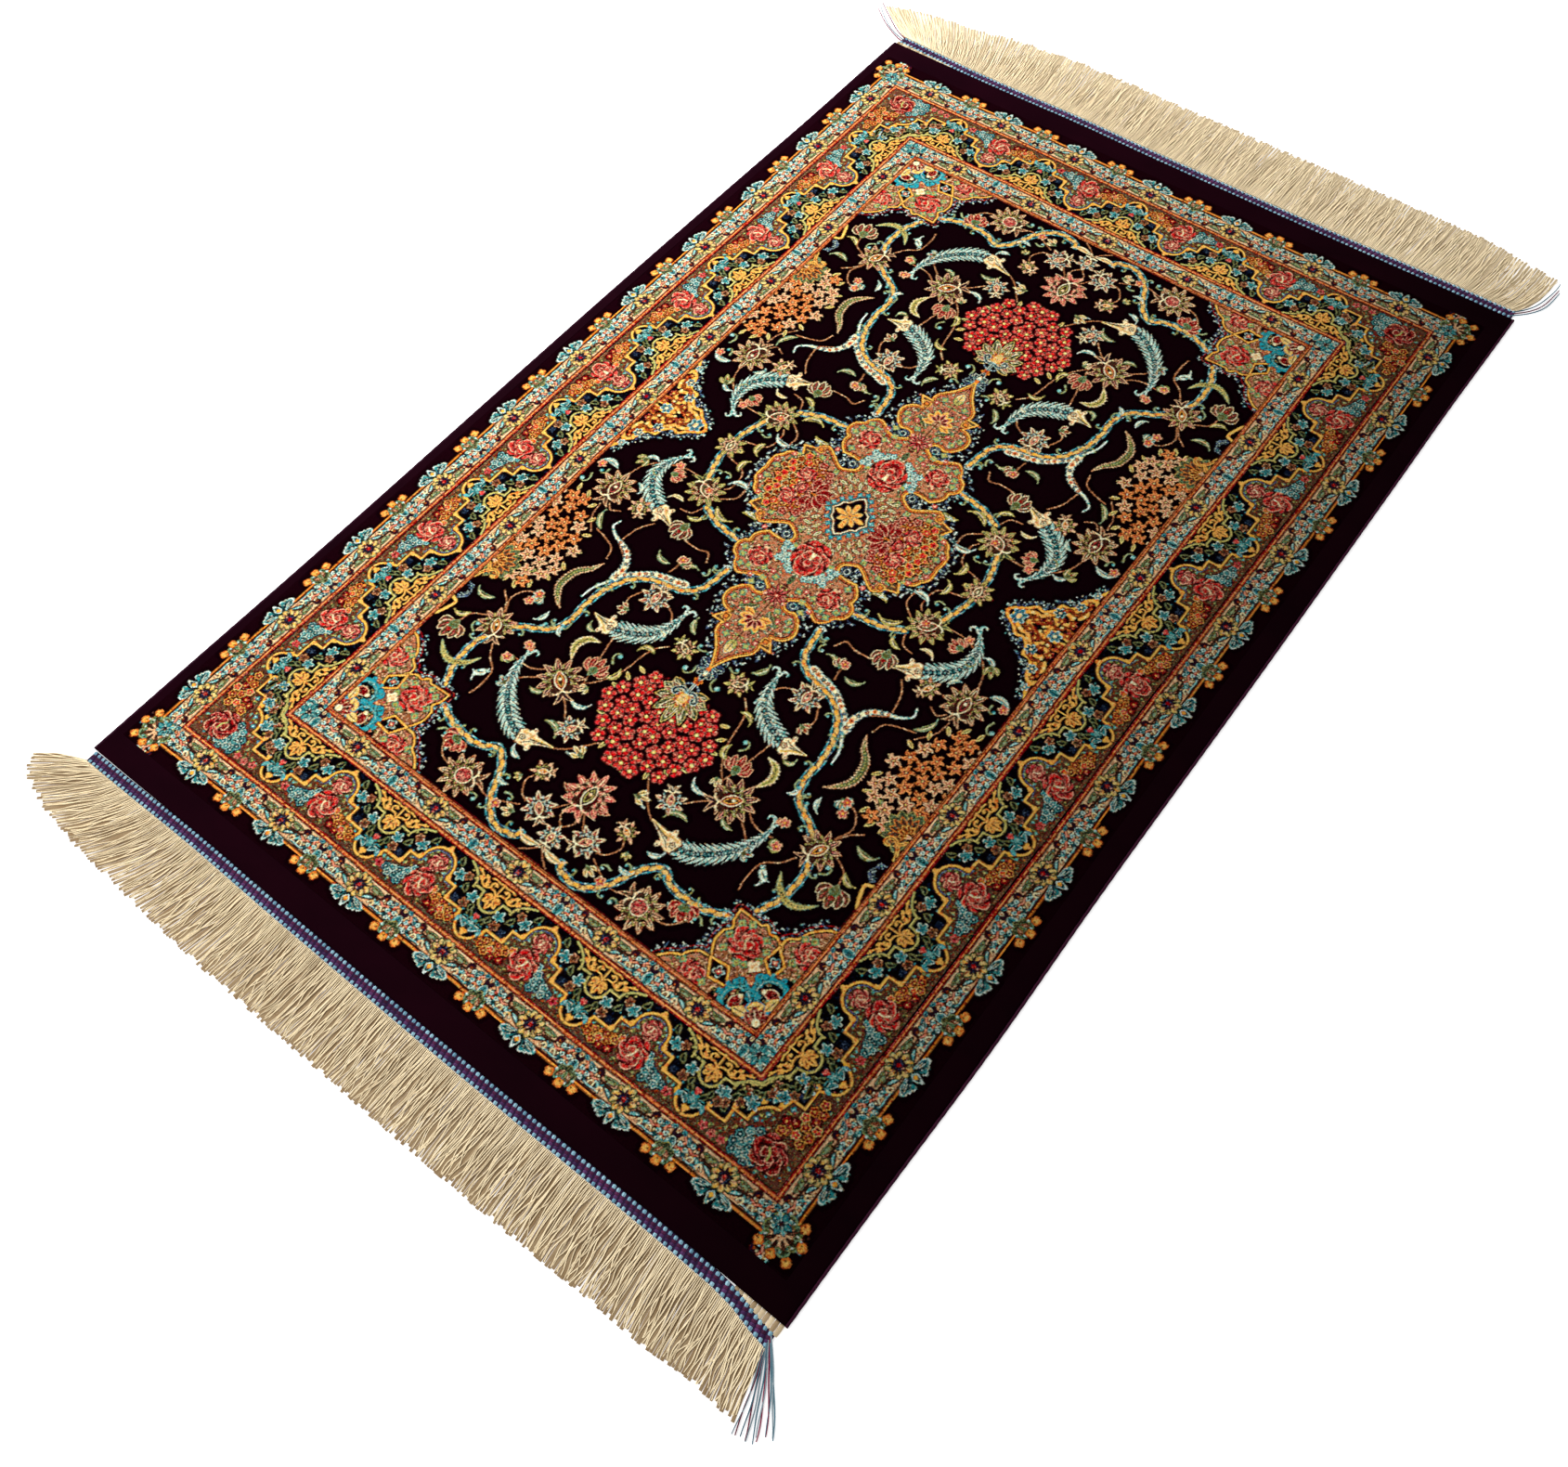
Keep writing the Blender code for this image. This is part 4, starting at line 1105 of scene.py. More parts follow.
FEATHERS = (
    ((56+183j, 57+192j, 59+204j, 65+218j, 76+228j, 89+235j, 103+240j), 21, 128+236j),
    ((177+36j, 184+46j, 189+60j, 188+76j, 178+91j, 164+101j, 157+105j), 21, 130+117j),
    ((146+306j, 146+318j, 142+332j, 132+350j, 114+367j, 97+375j, 91+376j), 20, 57+366j),
)
VINES = (
    (57+121j, 59+140j, 64+156j, 78+167j, 106+174j, 124+186j, 137+210j, 141+235j, 140+254j, 147+274j,
     171+289j, 181+298j),
    (192+316j, 195+330j, 195+348j, 192+362j, 185+378j),
    (169+396j, 148+404j, 124+406j, 112+404j, 98+397j, 86+405j, 77+420j, 71+434j, 60+447j, 46+454j,
     28+451j, 24+446j),
    (70+88j, 86+87j, 102+84j, 120+76j), (142+46j, 148+30j, 152+12j),
)
ARMS = (
    (78+160j, 92+164j, 108+168j, 122+177j, 134+188j, 141+202j, 148+216j, 150+230j),
    (139+196j, 139+180j, 147+166j, 158+160j, 170+156j, 180+148j, 178+139j),
)
RED_CLUSTER = (344j, 13+342j, 30+334j, 47+317j, 56+298j, 58+279j, 52+260j, 42+247j, 31+243j, 20+250j,
    13+262j, 262j)
GOLD_CLUSTER = (262+138j, 240+130j, 222+134j, 206+150j, 194+172j, 188+200j, 190+226j, 200+248j, 216+258j,
    232+250j, 262+246j)


def flower_cluster(path, pitch, radius, paint, leaf_dye, middle, opening, seed):
    """A heap of like flowers in a closed outline, with small leaf tips round its rim.

    middle is the heap's, and opening the direction of the palmette that it grows from, where the
    rim has no leaves.
    The flowers stand on a honeycomb, each moved, turned and sized a little by chance.
    """
    chance = np.random.default_rng(seed)
    rim = spline([*path, path[0]])
    for k in range(2, len(rim), 6):
        out = (rim[k] - middle) / abs(rim[k] - middle)
        if (out * opening.conjugate()).real > 0.62:
            continue
        Frame(rim[k], out * turn(chance.uniform(-30, 30))).blade(-5, 5.0, 3.8, "yellow", leaf_dye,
            "umber")
    for place in lattice(rim, pitch):
        stray = pitch * 0.08 * (chance.standard_normal() + 1j * chance.standard_normal())
        place += stray if place.real > 1 else 1j * stray.imag
        size = radius * chance.uniform(0.90, 1.06)
        paint(facing(place, chance.uniform(0, 360)), size)


def red_flower(frame, radius):
    """One flower of the red cluster."""
    frame.ring(5, radius + 1.0, "maroon", 0.22, 0.9)
    frame.ring(5, radius, "rose", 0.36, 0.8)
    frame.ring(5, radius - 0.6, "red", sharp=0.8)
    for k in range(5):
        ray = turn(36 + 72 * k)
        frame.line([0.8 * ray, radius * 0.72 * ray], 1.0, "maroon")
    frame.ring(5, radius * 0.36, "crimson", 0.3)
    frame.disc(0, radius * 0.24, "yellow")


def gold_flower(frame, radius):
    """One flower of the gold oval, copper or beige by its size, lined in crimson about its heart."""
    star_flower(frame, radius, ("copper", "beige")[int(10 * radius) % 2], "crimson", "crimson")
    frame.disc(0, radius * 0.14, "yellow")


def field():
    """The dark field between the medallion and the corner pieces."""
    for points in TENDRILS:
        RUG.stroke(points, 1.05, "tan")
    for points in VINES:
        vine(points)
    for points in ARMS:
        split_arm(points)
    for points, width, head in FEATHERS:
        feather_leaf(RUG, points, width, head)
    for place, way, length, width, bend, dyes in LEAVES:
        leaf(facing(place, way), length, width, bend, *LEAF_DYES[dyes])
    for place, way, size in CURLS:
        curl(facing(place, way), size)
    sawn_leaf(RUG, (158+188j, 164+200j, 174+212j, 176+232j, 166+246j, 158+252j), 9.5, "beige", "olive",
        "leaf")
    sawn_leaf(RUG, (101+258j, 112+262j, 117+274j, 110+288j), 9, "cream", "leaf", "olive")
    sawn_leaf(RUG, (178+338j, 186+350j, 200+357j, 212+353j, 222+344j), 8, "sage", "leaf", "green")
    for place, way, radius, dyes, count, round_core in PALMETTES:
        palmette(facing(place, way), radius, *PETALS[dyes], count, round_core)
    for place, way, length, width, dyes, count, spread in LILIES:
        lily(facing(place, way), length, width, BUDS[dyes], count, spread)
    for place in (184+252j, 98+139j, 62+438j, 175+50j, 160+322j, 187+263j, 132+58j, 152+300j, 241+94j):
        floret(Frame(place), 5.2, "rose", "gold", rim="beige")
    centre_lotus()
    flower_cluster(RED_CLUSTER, 14.2, 7.1, red_flower, "leaf", 290j, -1j, 3)
    red_palmette()
    flower_cluster(GOLD_CLUSTER, 15.4, 7.5, gold_flower, "leaf", 225+195j, 0j, 4)
    side_palmette()
    side_medallion()
    corner_piece()


def centre_lotus():
    """The large palmette with drooping leaves, and the small one, on the long axis past the cluster."""
    own = Frame(384j, -1j)
    for side in (-1, 1):
        for tip, width, dyes in ((-2+27j, 7, BUDS["pink"]), (-14+20j, 7, BUDS["blush"]),
                (-24+10j, 6, BUDS["pink"])):
            own.blade(2j * side, tip.real + 1j * side * tip.imag, width, *dyes, bend=0.14 * side)
    palmette(own, 25.0, ("pink", "rose", "cream"), PETALS["dusk"][0], ("cream", "leaf", "violet"), 17)
    own = Frame(434j, -1j)
    palmette(own, 14.0, *PETALS["pale"], 11)


def red_palmette():
    """The leafy palmette that holds the red cluster, on the long axis."""
    own = Frame(251j, 1j)
    fan(own, 9, 116, 40, 12, ("ground", "ground", None), lift=0.42, bend=0.0)
    fan(own, 9, 112, 37, 9, ("yellow", "green", "cream"), lift=0.42, bend=0.0)
    fan(own, 9, 100, 31, 6, ("cream", "maroon", "pink"), lift=0.36)
    fan(own, 9, 84, 24, 5, ("leaf", "brown", "cream"), lift=0.3)
    fan(own, 5, 60, 17, 5, ("gold", "rose", "crimson"), lift=0.3)
    own.blade(-3, 14, 10, "gold", "yellow")
    for half in (own, own.at(0, 1, True)):
        scroll = [-2+1j, -4+6j, -1+11j, 3+13j, 5+10j, 2.4+8.4j]
        half.stroke(scroll, 3.4, "ice")
        half.stroke(scroll, 2.2, "navy")
        half.stroke([-12+2j, -10+6j, -6+8j], 1.2, "slate")
    own.stroke([-16, -2], 3.2, "ice")
    own.stroke([-16, -2], 1.8, "navy")
    floret(own.at(-17.5), 5.0, "rust", "maroon", rim="orange", petals=6)


def side_palmette():
    """The brown and green palmette at the foot of the gold oval, with its gold scroll."""
    own = facing(246+246j, -157)
    fan(own.at(0, turn(-8)), 9, 95, 27, 11, ("leaf", "green", "olive"), lift=0.2)
    fan(own.at(0, turn(-8)), 9, 90, 21, 6, ("orange", "brown", "umber"), lift=0.2)
    fan(own, 5, 60, 12, 5, ("gold", "rust", "maroon"), lift=0.2)
    for curve in ((249+272j, 245+262j, 239+256j, 233+257j, 232+262j, 236+263j), (249+252j, 243+258j)):
        RUG.stroke(curve, 3.2, "gold")
        RUG.stroke(curve, 0.8, "umber")
    RUG.stroke((247+280j, 240+286j, 238+294j, 244+300j), 1.2, "slate")
    for place in (243+283j, 240+292j, 244+297j):
        floret(Frame(place), 3.2, "navy", "ice", rim="slate")
    RUG.stroke((249+302j, 242+306j, 246+320j, 249+326j), 3.0, "gold")


def side_medallion():
    """Half of the gold cloud-scroll piece in the middle of each long side."""
    edge = (183+0j, 187+6j, 198+13j, 205+20j, 213+19j, 220+26j, 222+34j, 231+36j, 235+46j, 237+52j,
            243+58j, 245+66j, 249+74j)
    frill(edge, 7.0, 4.8)
    rim = spline(edge)
    RUG.fill([*rim, 249-4j, 183-4j], "black")
    RUG.band(rim, ((-2.8, 0.2, "gold"), (-4.0, -2.8, "maroon")))
    for curve, width, dye in (
            ((192+0j, 200+8j, 210+12j, 214+5j, 208+1j), 4.0, "gold"),
            ((214+12j, 222+18j, 230+14j, 228+6j, 221+6j), 4.0, "gold"),
            ((222+22j, 230+28j, 238+26j, 240+18j, 233+17j), 4.0, "gold"),
            ((236+34j, 242+42j, 247+38j, 244+30j), 3.8, "gold"),
            ((240+48j, 245+56j, 249+52j), 3.4, "gold"), ((226+0j, 236+5j, 248+3j), 3.6, "gold"),
            ((204+4j, 212+8j, 220+5j, 226+10j, 234+9j, 240+13j, 248+12j), 3.4, "rust"),
            ((224+28j, 232+34j, 240+32j, 246+46j), 3.2, "rust"),
            ((214+3j, 218+12j, 228+21j, 236+22j, 245+26j), 1.6, "maroon")):
        RUG.stroke(curve, width, dye)
    for place, radius, petal in ((197+1j, 8.4, "turquoise"), (226+25j, 6.2, "teal"),
            (238+42j, 5.4, "teal"), (243+62j, 4.4, "turquoise"), (236+0j, 7.0, "turquoise")):
        floret(Frame(place), radius, petal, "cream", rim="ice", petals=6)
    for place, radius in ((213+6j, 5.4), (222+12j, 4.2), (232+18j, 4.4), (243+20j, 4.4), (229+31j, 3.6),
            (243+50j, 3.4), (245+7j, 4.6)):
        floret(Frame(place), radius, "rust", "gold", rim="crimson", petals=5)
    for place in (205+11j, 216+17j, 222+3j, 239+28j, 236+12j, 246+35j):
        Frame(place).disc(0, 1.6, "yellow")


def corner_piece():
    """The corner spandrel: gold line round a salmon ground, roses, two lozenges, arabesques on black."""
    edge = cusps((249+354j, 243+356j, 235+363j, 230+370j, 228+377j),
            (228+377j, 221+382j, 220+389j, 223+393j), 220+391j,
            (220+391j, 213+387j, 206+388j), (206+388j, 200+383j, 196+386j),
            173+385j, 174.5+396j, (174.5+396j, 178+402j, 173.5+408j),
            (173.5+408j, 173+418j, 177+427j, 181+432j), 179+433j,
            (179+433j, 170+434j, 163+440j, 160+446j), (160+446j, 152+450j, 146+456j, 143+460j))
    frill(edge, 9.0, 4.4)
    area = [*edge, 143+462j, 252+462j, 252+354j]
    RUG.fill(area, "salmon")
    inner = [*[z + 5 + 5j for z in edge], 150+462j, 252+462j, 252+361j]
    RUG.fill(inner, "tan")
    RUG.fill([252+408j, 243+410j, 232+421j, 224+434j, 210+444j, 200+452j, 197+462j, 252+462j], "black")
    chance = np.random.default_rng(14)
    sprigs = chance.uniform(150, 250, 330) + 1j * chance.uniform(360, 460, 330)
    sprigs = sprigs[holds(np.array(area), sprigs - 2 - 2j)]
    scatter(RUG, sprigs, ("sage", "brown", "rose", "leaf", "brown", "crimson", "beige", "olive"))
    RUG.band(edge, ((-2.0, -0.9, "maroon"), (-0.9, 0.9, "gold"), (0.9, 2.0, "maroon"),
        (4.0, 4.8, "crimson")))
    for line in ((219.6+392j, 234+403.6j, 231+418j, 217.2+408j, 219.6+392j),
            (180+432.6j, 197.6+430.4j, 207+445j, 189+447.3j, 180+432.6j)):
        RUG.fill(line, "black")
        RUG.line(line, 3.6, "maroon")
        RUG.line(line, 2.0, "gold")
        Frame(line[2] + 1.5 * turn(45)).ring(3, 3.4, "gold", start=45)
    for place, way in ((225.4+405.5j, 20), (193.6+438.8j, 70)):
        facing(place, way).ring(4, 5.4, "ice", 0.45, 1.4)
        facing(place, way).ring(4, 4.4, "navy", 0.45, 1.4)
        floret(facing(place, way), 2.8, "rose", "cream", petals=4)
    for place, radius, way in ((195+406j, 15.0, 45), (243+384j, 12.0, 45), (176+454j, 12.0, 45)):
        rose(facing(place, way), radius, body="red", deep="crimson")
    for place in (182+394j, 208+394j, 183+420j, 206+422j, 232+374j, 236+397j, 163+448j, 188+454j,
            214+412j, 200+424j, 240+371j, 214+402j, 190+390j, 180+408j):
        Frame(place).ring(4, 4.0, "sage")
        Frame(place).ring(4, 2.6, "leaf")
        Frame(place).disc(0, 0.8, "rose")
    for middle, way in ((240+429j, -10), (220+450j, 100)):
        own = facing(middle, way)
        for half in (own, own.at(0, 1, True)):
            for bow in ([-14, -10+9j, 0+12j, 9+9j, 12+2j, 8], [-12+3j, -16+9j, -11+12j]):
                half.stroke(bow, 6.6, "black")
                half.stroke(bow, 5.2, "lagoon")
        for half in (own, own.at(0, 1, True)):
            half.stroke([-12, -9+8j, 0+11.4j, 8+8.4j], 0.9, "aqua")
            for place in (-15+3j, -6+15j, 4+15.5j, 13+9j, 16):
                half.disc(place, 2.4, "lagoon")
        own.blade(-8, 8, 10, "cream", "crimson", blunt=1.2)
        own.disc(-6, 2.0, "cream")
    for place, way in ((236+445j, 135), (246+436j, 100), (228+455j, 170)):
        facing(place, way + 180).blade(-7, 8, 9, "gold", "yellow", "umber")
    fan(facing(249+459j, -135), 5, 50, 20, 9, ("pink", "crimson", "cream"))
    Frame(245+455j).disc(0, 3.4, "cream")
    Frame(214+418j).ring(4, 6.0, "cream")


def medallion_edge():
    """The quarter outline of the medallion from its tip to its side: ogee, lobes, hooks and spikes."""
    return cusps((218j, 3+209j, 9+197j, 15+189j, 17+187j), (17+187j, 22+181j, 23.5+174j, 22+170j),
            34.5+170j, 25+156.5j, (25+156.5j, 34+154j, 40+147j, 40.5+138j, 35+128j, 27+122j, 21+124j),
            arc(18.5+117.4j, 6.6, 110, 250), (17+110.5j, 24+107j, 33+109j),
            (33+109j, 40+114j, 47+117.5j, 53+115j, 57+110j),
            (57+110j, 60+104j, 66+100j, 69+92j, 67+85j, 62+81j),
            (62+81j, 62.5+74j, 59+67j, 53+61j), (53+61j, 46+62j, 40+62j),
            arc(36+54j, 7.6, 95, 255), (34+46.6j, 42+43j, 50+46j, 58+52j, 68+58j),
            (68+58j, 74+55j, 77+49j), 90.5+45j, 83+31j, (83+31j, 92+32j, 99+28j, 101+23j),
            (101+23j, 106+17j, 107+8j, 106+0j, 106-3j))


def medallion():
    """The salmon medallion on the long axis, with its finial, roses and flower fans."""
    edge = medallion_edge()
    frill(edge, 8.5, 5.2)
    for centre in (21+116j, 38+54j):
        for size, dye in ((7.6, "ground"), (6.0, "slate"), (5.2, "navy")):
            Frame(centre - 1.5).ring(6, size, dye, 0.3)
        Frame(centre).stroke(arc(-1, 3, -120, 200), 0.8, "ice")
    area = [*edge, -3-3j, -3+218j]
    RUG.fill(area, "salmon")
    chance = np.random.default_rng(9)
    sprigs = chance.uniform(0, 110, 1000) + 1j * chance.uniform(0, 215, 1000)
    sprigs = sprigs[holds(np.array(area), sprigs + 3 + 3j)]
    scatter(RUG, sprigs, ("cream", "green", "rose", "umber", "leaf", "crimson", "beige", "sage", "umber"))
    RUG.band(edge, ((-0.9, 0.9, "gold"), (0.9, 1.5, "maroon"), (-1.6, -0.9, "maroon"),
        (-2.6, -1.6, "orange"), (-3.8, -2.6, "crimson")))
    for spike in ((24+169j, 32.5+169j, 25.5+159j), (78+47j, 88+44j, 82.5+34j)):
        RUG.fill(spike, "brown")
        RUG.stroke([sum(spike) / 3 - 2, sum(spike) / 3 + 2], 1.0, "gold")
    for place in (24+163j, 73.5+50j):
        for size, dye in ((5.0, "gold"), (3.8, "crimson"), (2.2, "orange")):
            Frame(place).ring(4, size, dye, 0.25, start=45)
    for place in (12+178j, 8+160j, 32+141j, 28+133j, 12+130j, 30+118j, 57+98j, 50+70j, 30+98j, 24+108j,
            14+100j, 52+108j, 60+90j, 14+84j, 44+105j, 10+50j, 22+60j, 58+38j, 76+40j, 90+22j, 44+36j,
            98+8j, 30+40j, 94+14j, 86+32j, 66+42j):
        facing(place, place.real * 9).ring(4, 4.0, "sage", 0.45)
        facing(place, place.real * 9).ring(4, 2.4, "leaf", 0.45)
    for place in (20+96j, 45+76j, 36+112j, 19+139j, 10+120j, 60+60j, 14+36j, 92+30j, 102+14j, 17+170j):
        Frame(place).ring(5, 3.2, "rose")
        Frame(place).disc(0, 0.9, "cream")
    for place, way in ((5+40j, 80), (13+35j, 55), (20+28j, 40), (27+20j, 25), (32+11j, 10), (12+45j, 70),
            (22+38j, 45), (30+30j, 25), (4+50j, 95), (37+22j, 15), (36+4j, 0), (29+38j, 50)):
        tuft = facing(place, way + 20 * np.sin(place.real))
        tuft.blade(-5.5, 6.0, 4.2, "maroon")
        tuft.blade(-4.5, 5.0, 3.2, "cream", "leaf", "olive")
    medallion_flowers()
    finial()


def medallion_flowers():
    """The medallion's flowers: on its long axis, in its lobes, and round the middle quatrefoil."""
    RUG.blade(180j, 196j, 9, "cream", "yellow", "olive")
    for side in (-1, 1):
        RUG.blade(178j, 5 * side + 188j, 5, "sage", "leaf")
        RUG.blade(134j + 6 * side, 22 * side + 146j, 9, "sage", "green", "cream", bend=0.15 * side)
    fan(Frame(146j, 1j), 7, 100, 20, 8, ("yellow", "gold", "rust"))
    fan(Frame(148j, 1j), 5, 70, 14, 5, ("pink", "crimson", "maroon"))
    for k in range(12):
        ray = turn(30 * k)
        Frame(116j).blade(2 * ray, (14.5 - 3 * (k % 2)) * ray, 3.4, "maroon", "rose")
    floret(Frame(116j), 4.6, "crimson", "pink", petals=6)
    RUG.blade(100j, 86j, 6, "sage", "green")
    Frame(42+90j).ring(8, 13.5, "beige", 0.3)
    rose(facing(42+90j, 200), 11.5)
    for place in (14+83j, 20+80j, 25+75j, 28+69j, 21+73j, 15+77j, 24+64j, 30+62j, 9+86j, 27+80j):
        floret(Frame(place), 4.2, "ice", "teal", rim="aqua", petals=6)
    rose(Frame(63j, -1j), 20, body="red", deep="crimson", heart="cream")
    chance = np.random.default_rng(12)
    area = 66 + 10j + 28 * turn(np.linspace(0, 360, 25)[:-1])
    places = lattice(area, 8.8, 2.0)
    places = places + chance.uniform(-1.4, 1.4, len(places)) + 1j * chance.uniform(-1.4, 1.4, len(places))
    inwards = places.real + chance.uniform(-6, 6, len(places))
    for low, high, petals, heart in ((72, 120, (("gold", "red"), ("yellow", "rust")), "crimson"),
            (58, 72, (("orange", "red"), ("gold", "crimson")), "yellow"),
            (0, 58, (("pink", "crimson"), ("orange", "crimson")), "pink")):
        heap(RUG, places[(inwards >= low) & (inwards < high)], 4.8, petals, heart, "maroon")
    for place, size in ((66+16j, 9.5), (60-2j, 8.0)):
        rose(facing(place, 150), size, body="red", edge="pink")
    own = facing(39+0j, 180)
    fan(own.at(-8), 7, 100, 22, 12, ("pink", "crimson", "maroon"), lift=0.1)
    lozenge = [29j, 6+24j, 11+15j, 17+12j, 19+5j, 23+0j, 22-4j, -4-4j, -4+29j]
    for size, dye in ((1.06, "turquoise"), (0.99, "maroon"), (0.92, "cream"), (0.86, "maroon"),
            (0.79, "black")):
        RUG.fill([z * size for z in lozenge], dye)
    for place in (31j, 7+27j, 13+19j, 19+13j, 23+5j, 27+0j):
        floret(Frame(place), 3.2, "aqua", "lagoon", rim="turquoise", petals=4)
    for k in range(8):
        ray = turn(45 * k)
        reach = 17.0 if k % 2 == 0 else 13
        RUG.blade(2.5 * ray, (reach + 0.8) * ray, 7.4, "maroon")
        RUG.blade(2.5 * ray, reach * ray, 5.6, "yellow", "gold")
    for place in (14j, 12+0j):
        Frame(place).disc(0, 2.6, "gold")
    floret(RUG, 4.6, "gold", "crimson", petals=8)


def finial():
    """The blue-white trefoil and the orange bead beyond the medallion's tip."""
    own = Frame(215j, 1j)
    fan(own, 5, 105, 15, 9, ("slate", "navy", "ice"), lift=0.1)
    fan(own.at(5), 3, 50, 13, 6, ("ice", "navy", "slate"))
    own.blade(3, 12, 3.6, "cream", "ice")
    Frame(218j).disc(0, 2.4, "orange")


# The woven panel. The pattern's middle lies a little off the panel's, so one plain side is wider
PATTERN_MIDDLE = (-0.0045, -0.0010)
HAND_WANDER = 0.0008
RECESS = 0.0009
SLAB = 0.0007
# Its rounded rim: how far below EDGE_HEIGHT the round ends, and the underside's lift near the outline
RIM_SINK = 0.0006
FOOT_LIFT = 0.0003
FOOT_REACH = 0.0004
# Room between the grid's lines at the rim and the next ones, and the reach of the step to the slabs
RIM_SPACE = 0.003
STEP_REACH = 0.0002
# Deep silk takes more light than its colour chart says: the power on a dye's linear light
DYE_DEPTH = 1.10
# Painted light and shade: each cell is pushed away from the cells round it, lighter where it is lighter
# and darker where it is darker, standing in for the clipped pile's relief in hard light. The share of a
# cell's difference from the cells round it that is added to it, how many cells off they reach, and the
# largest share of its light it loses
PAINTED_RELIEF_LIGHT = 1.2
PAINTED_RELIEF_REACH = 2
DEEPEST = 0.4
FIELD_HALF = (0.2500, 0.4600)
RIM_HALF = (0.3835, 0.5935)
FIELD_CELL = 0.00165
BORDER_CELL = 0.0015
HEM_MAP = np.array([(0.003, 0.003), (0.013, 0.003), (0.013, 0.013), (0.003, 0.013)])


def new_piece(name, points, faces, material, uv=None, smooth=True):
    """An object at the origin from points, faces, and a corner uv array for the bake map."""
    mesh = bpy.data.meshes.new(name)
    mesh.from_pydata(points, [], faces)
    if uv is not None:
        layer = mesh.uv_layers.new(name="OFBake")
        layer.uv.foreach_set("vector", np.asarray(uv, np.float32).ravel())
    if smooth:
        mesh.shade_smooth()
        mesh.set_sharp_from_angle(angle=np.radians(50))
    mesh.materials.append(material)
    mesh.validate()
    piece = bpy.data.objects.new(name, mesh)
    bpy.context.scene.collection.objects.link(piece)
    return piece


def grid_quads(number):
    """Quads of a grid of vertex numbers, anticlockwise seen from above where the first axis is x."""
    quads = np.stack([number[:-1, :-1], number[1:, :-1], number[1:, 1:], number[:-1, 1:]], -1)
    return quads.reshape(-1, 4)


def rim_loop(number):
    """The grid's border as one closed run of vertex numbers, anticlockwise seen from above."""
    return np.concatenate([number[:, 0], number[-1, 1:], number[-2::-1, -1], number[0, -2:0:-1]])


def draw_chart():
    """The whole quarter chart, as the knots' dye numbers."""
    across, along = CHART.knots.real, CHART.knots.imag
    for half_width, half_length, dye in BOXES:
        CHART.dye[(across < half_width) & (along < half_length)] = DYE_NUMBER[dye]
    guards()
    CHART.outline("beige", "umber")
    CHART.confine(*CHART_HALF)
    main_border()
    CHART.confine(*BOXES[-1][:2])
    field()
    medallion()
    CHART.outline("salmon", "maroon", 1)
    CHART.fleck()
    return CHART.dye


def linear(colour):
    """Linear light of an sRGB colour given from 0 to 1."""
    colour = np.asarray(colour, float)
    return np.where(colour > 0.04045, ((colour + 0.055) / 1.055) ** 2.4, colour / 12.92)


def knot_colours(x, y, dyes, palette):
    """Colour of the knot at each place. The pattern is the quarter chart mirrored four ways.

    A slow wander of up to 1.3 mm bends its lines, as the weaver's beat did.
    """
    wander_x = HAND_WANDER * (np.sin(11 * y + 1.3) + 0.5 * np.sin(29 * y + 9 * x))
    wander_y = HAND_WANDER * (np.sin(13 * x + 0.4) + 0.6 * np.sin(23 * x - 7 * y))
    across = abs(x - PATTERN_MIDDLE[0] + wander_x) * 1000 / KNOT
    along = abs(y - PATTERN_MIDDLE[1] + wander_y) * 1000 / KNOT
    column = np.minimum(across.astype(int), dyes.shape[0] - 1)
    row = np.minimum(along.astype(int), dyes.shape[1] - 1)
    return palette[dyes[column, row]]


def cell_colours(x, y, dyes, palette):
    """Colour at the four corners of each cell of a grid, fitted to the knots inside the cell.

    Each quarter of a cell takes the mean of its four knots, and the corners carry the mean of the
    cell, its slope across and along, and its twist on to the edge. Where a cell is lighter or darker
    than those round it, that difference is raised: painted light and shade for the pile's relief.
    """
    width, length = np.diff(x)[0], np.diff(y)[0]
    quarter = {}
    for a in (0, 1):
        for b in (0, 1):
            total = 0
            for s in (0.125, 0.375):
                for t in (0.125, 0.375):
                    gx = x[:-1, None] + (s + 0.5 * a) * width + 0 * y[None, :-1]
                    gy = y[None, :-1] + (t + 0.5 * b) * length + 0 * x[:-1, None]
                    total = total + knot_colours(gx, gy, dyes, palette)
            quarter[a, b] = total / 4
    mean = sum(quarter.values()) / 4
    span = 2 * PAINTED_RELIEF_REACH + 1
    wide = np.pad(mean, ((PAINTED_RELIEF_REACH, PAINTED_RELIEF_REACH), (PAINTED_RELIEF_REACH, PAINTED_RELIEF_REACH), (0, 0)), "edge")
    nx, ny = mean.shape[:2]
    around = sum(wide[s:s + nx, t:t + ny] for s in range(span) for t in range(span)) / span ** 2
    # Painted light and shade: each cell is pushed away from the mean of the cells round it
    painted_relief_light = np.maximum((mean - around) * PAINTED_RELIEF_LIGHT, -DEEPEST * mean)
    slope_x = (quarter[1, 0] + quarter[1, 1] - quarter[0, 0] - quarter[0, 1]) / 2
    slope_y = (quarter[0, 1] + quarter[1, 1] - quarter[0, 0] - quarter[1, 0]) / 2
    twist = (quarter[1, 1] + quarter[0, 0] - quarter[1, 0] - quarter[0, 1]) / 2
    corners = []
    for a, b in ((0, 0), (1, 0), (1, 1), (0, 1)):
        u, v = 2 * a - 1, 2 * b - 1
        corners.append(mean + painted_relief_light + (slope_x * u + slope_y * v) * 1.1 + twist * u * v * 1.5)
    return np.clip(np.stack(corners, 2), 0, 1)


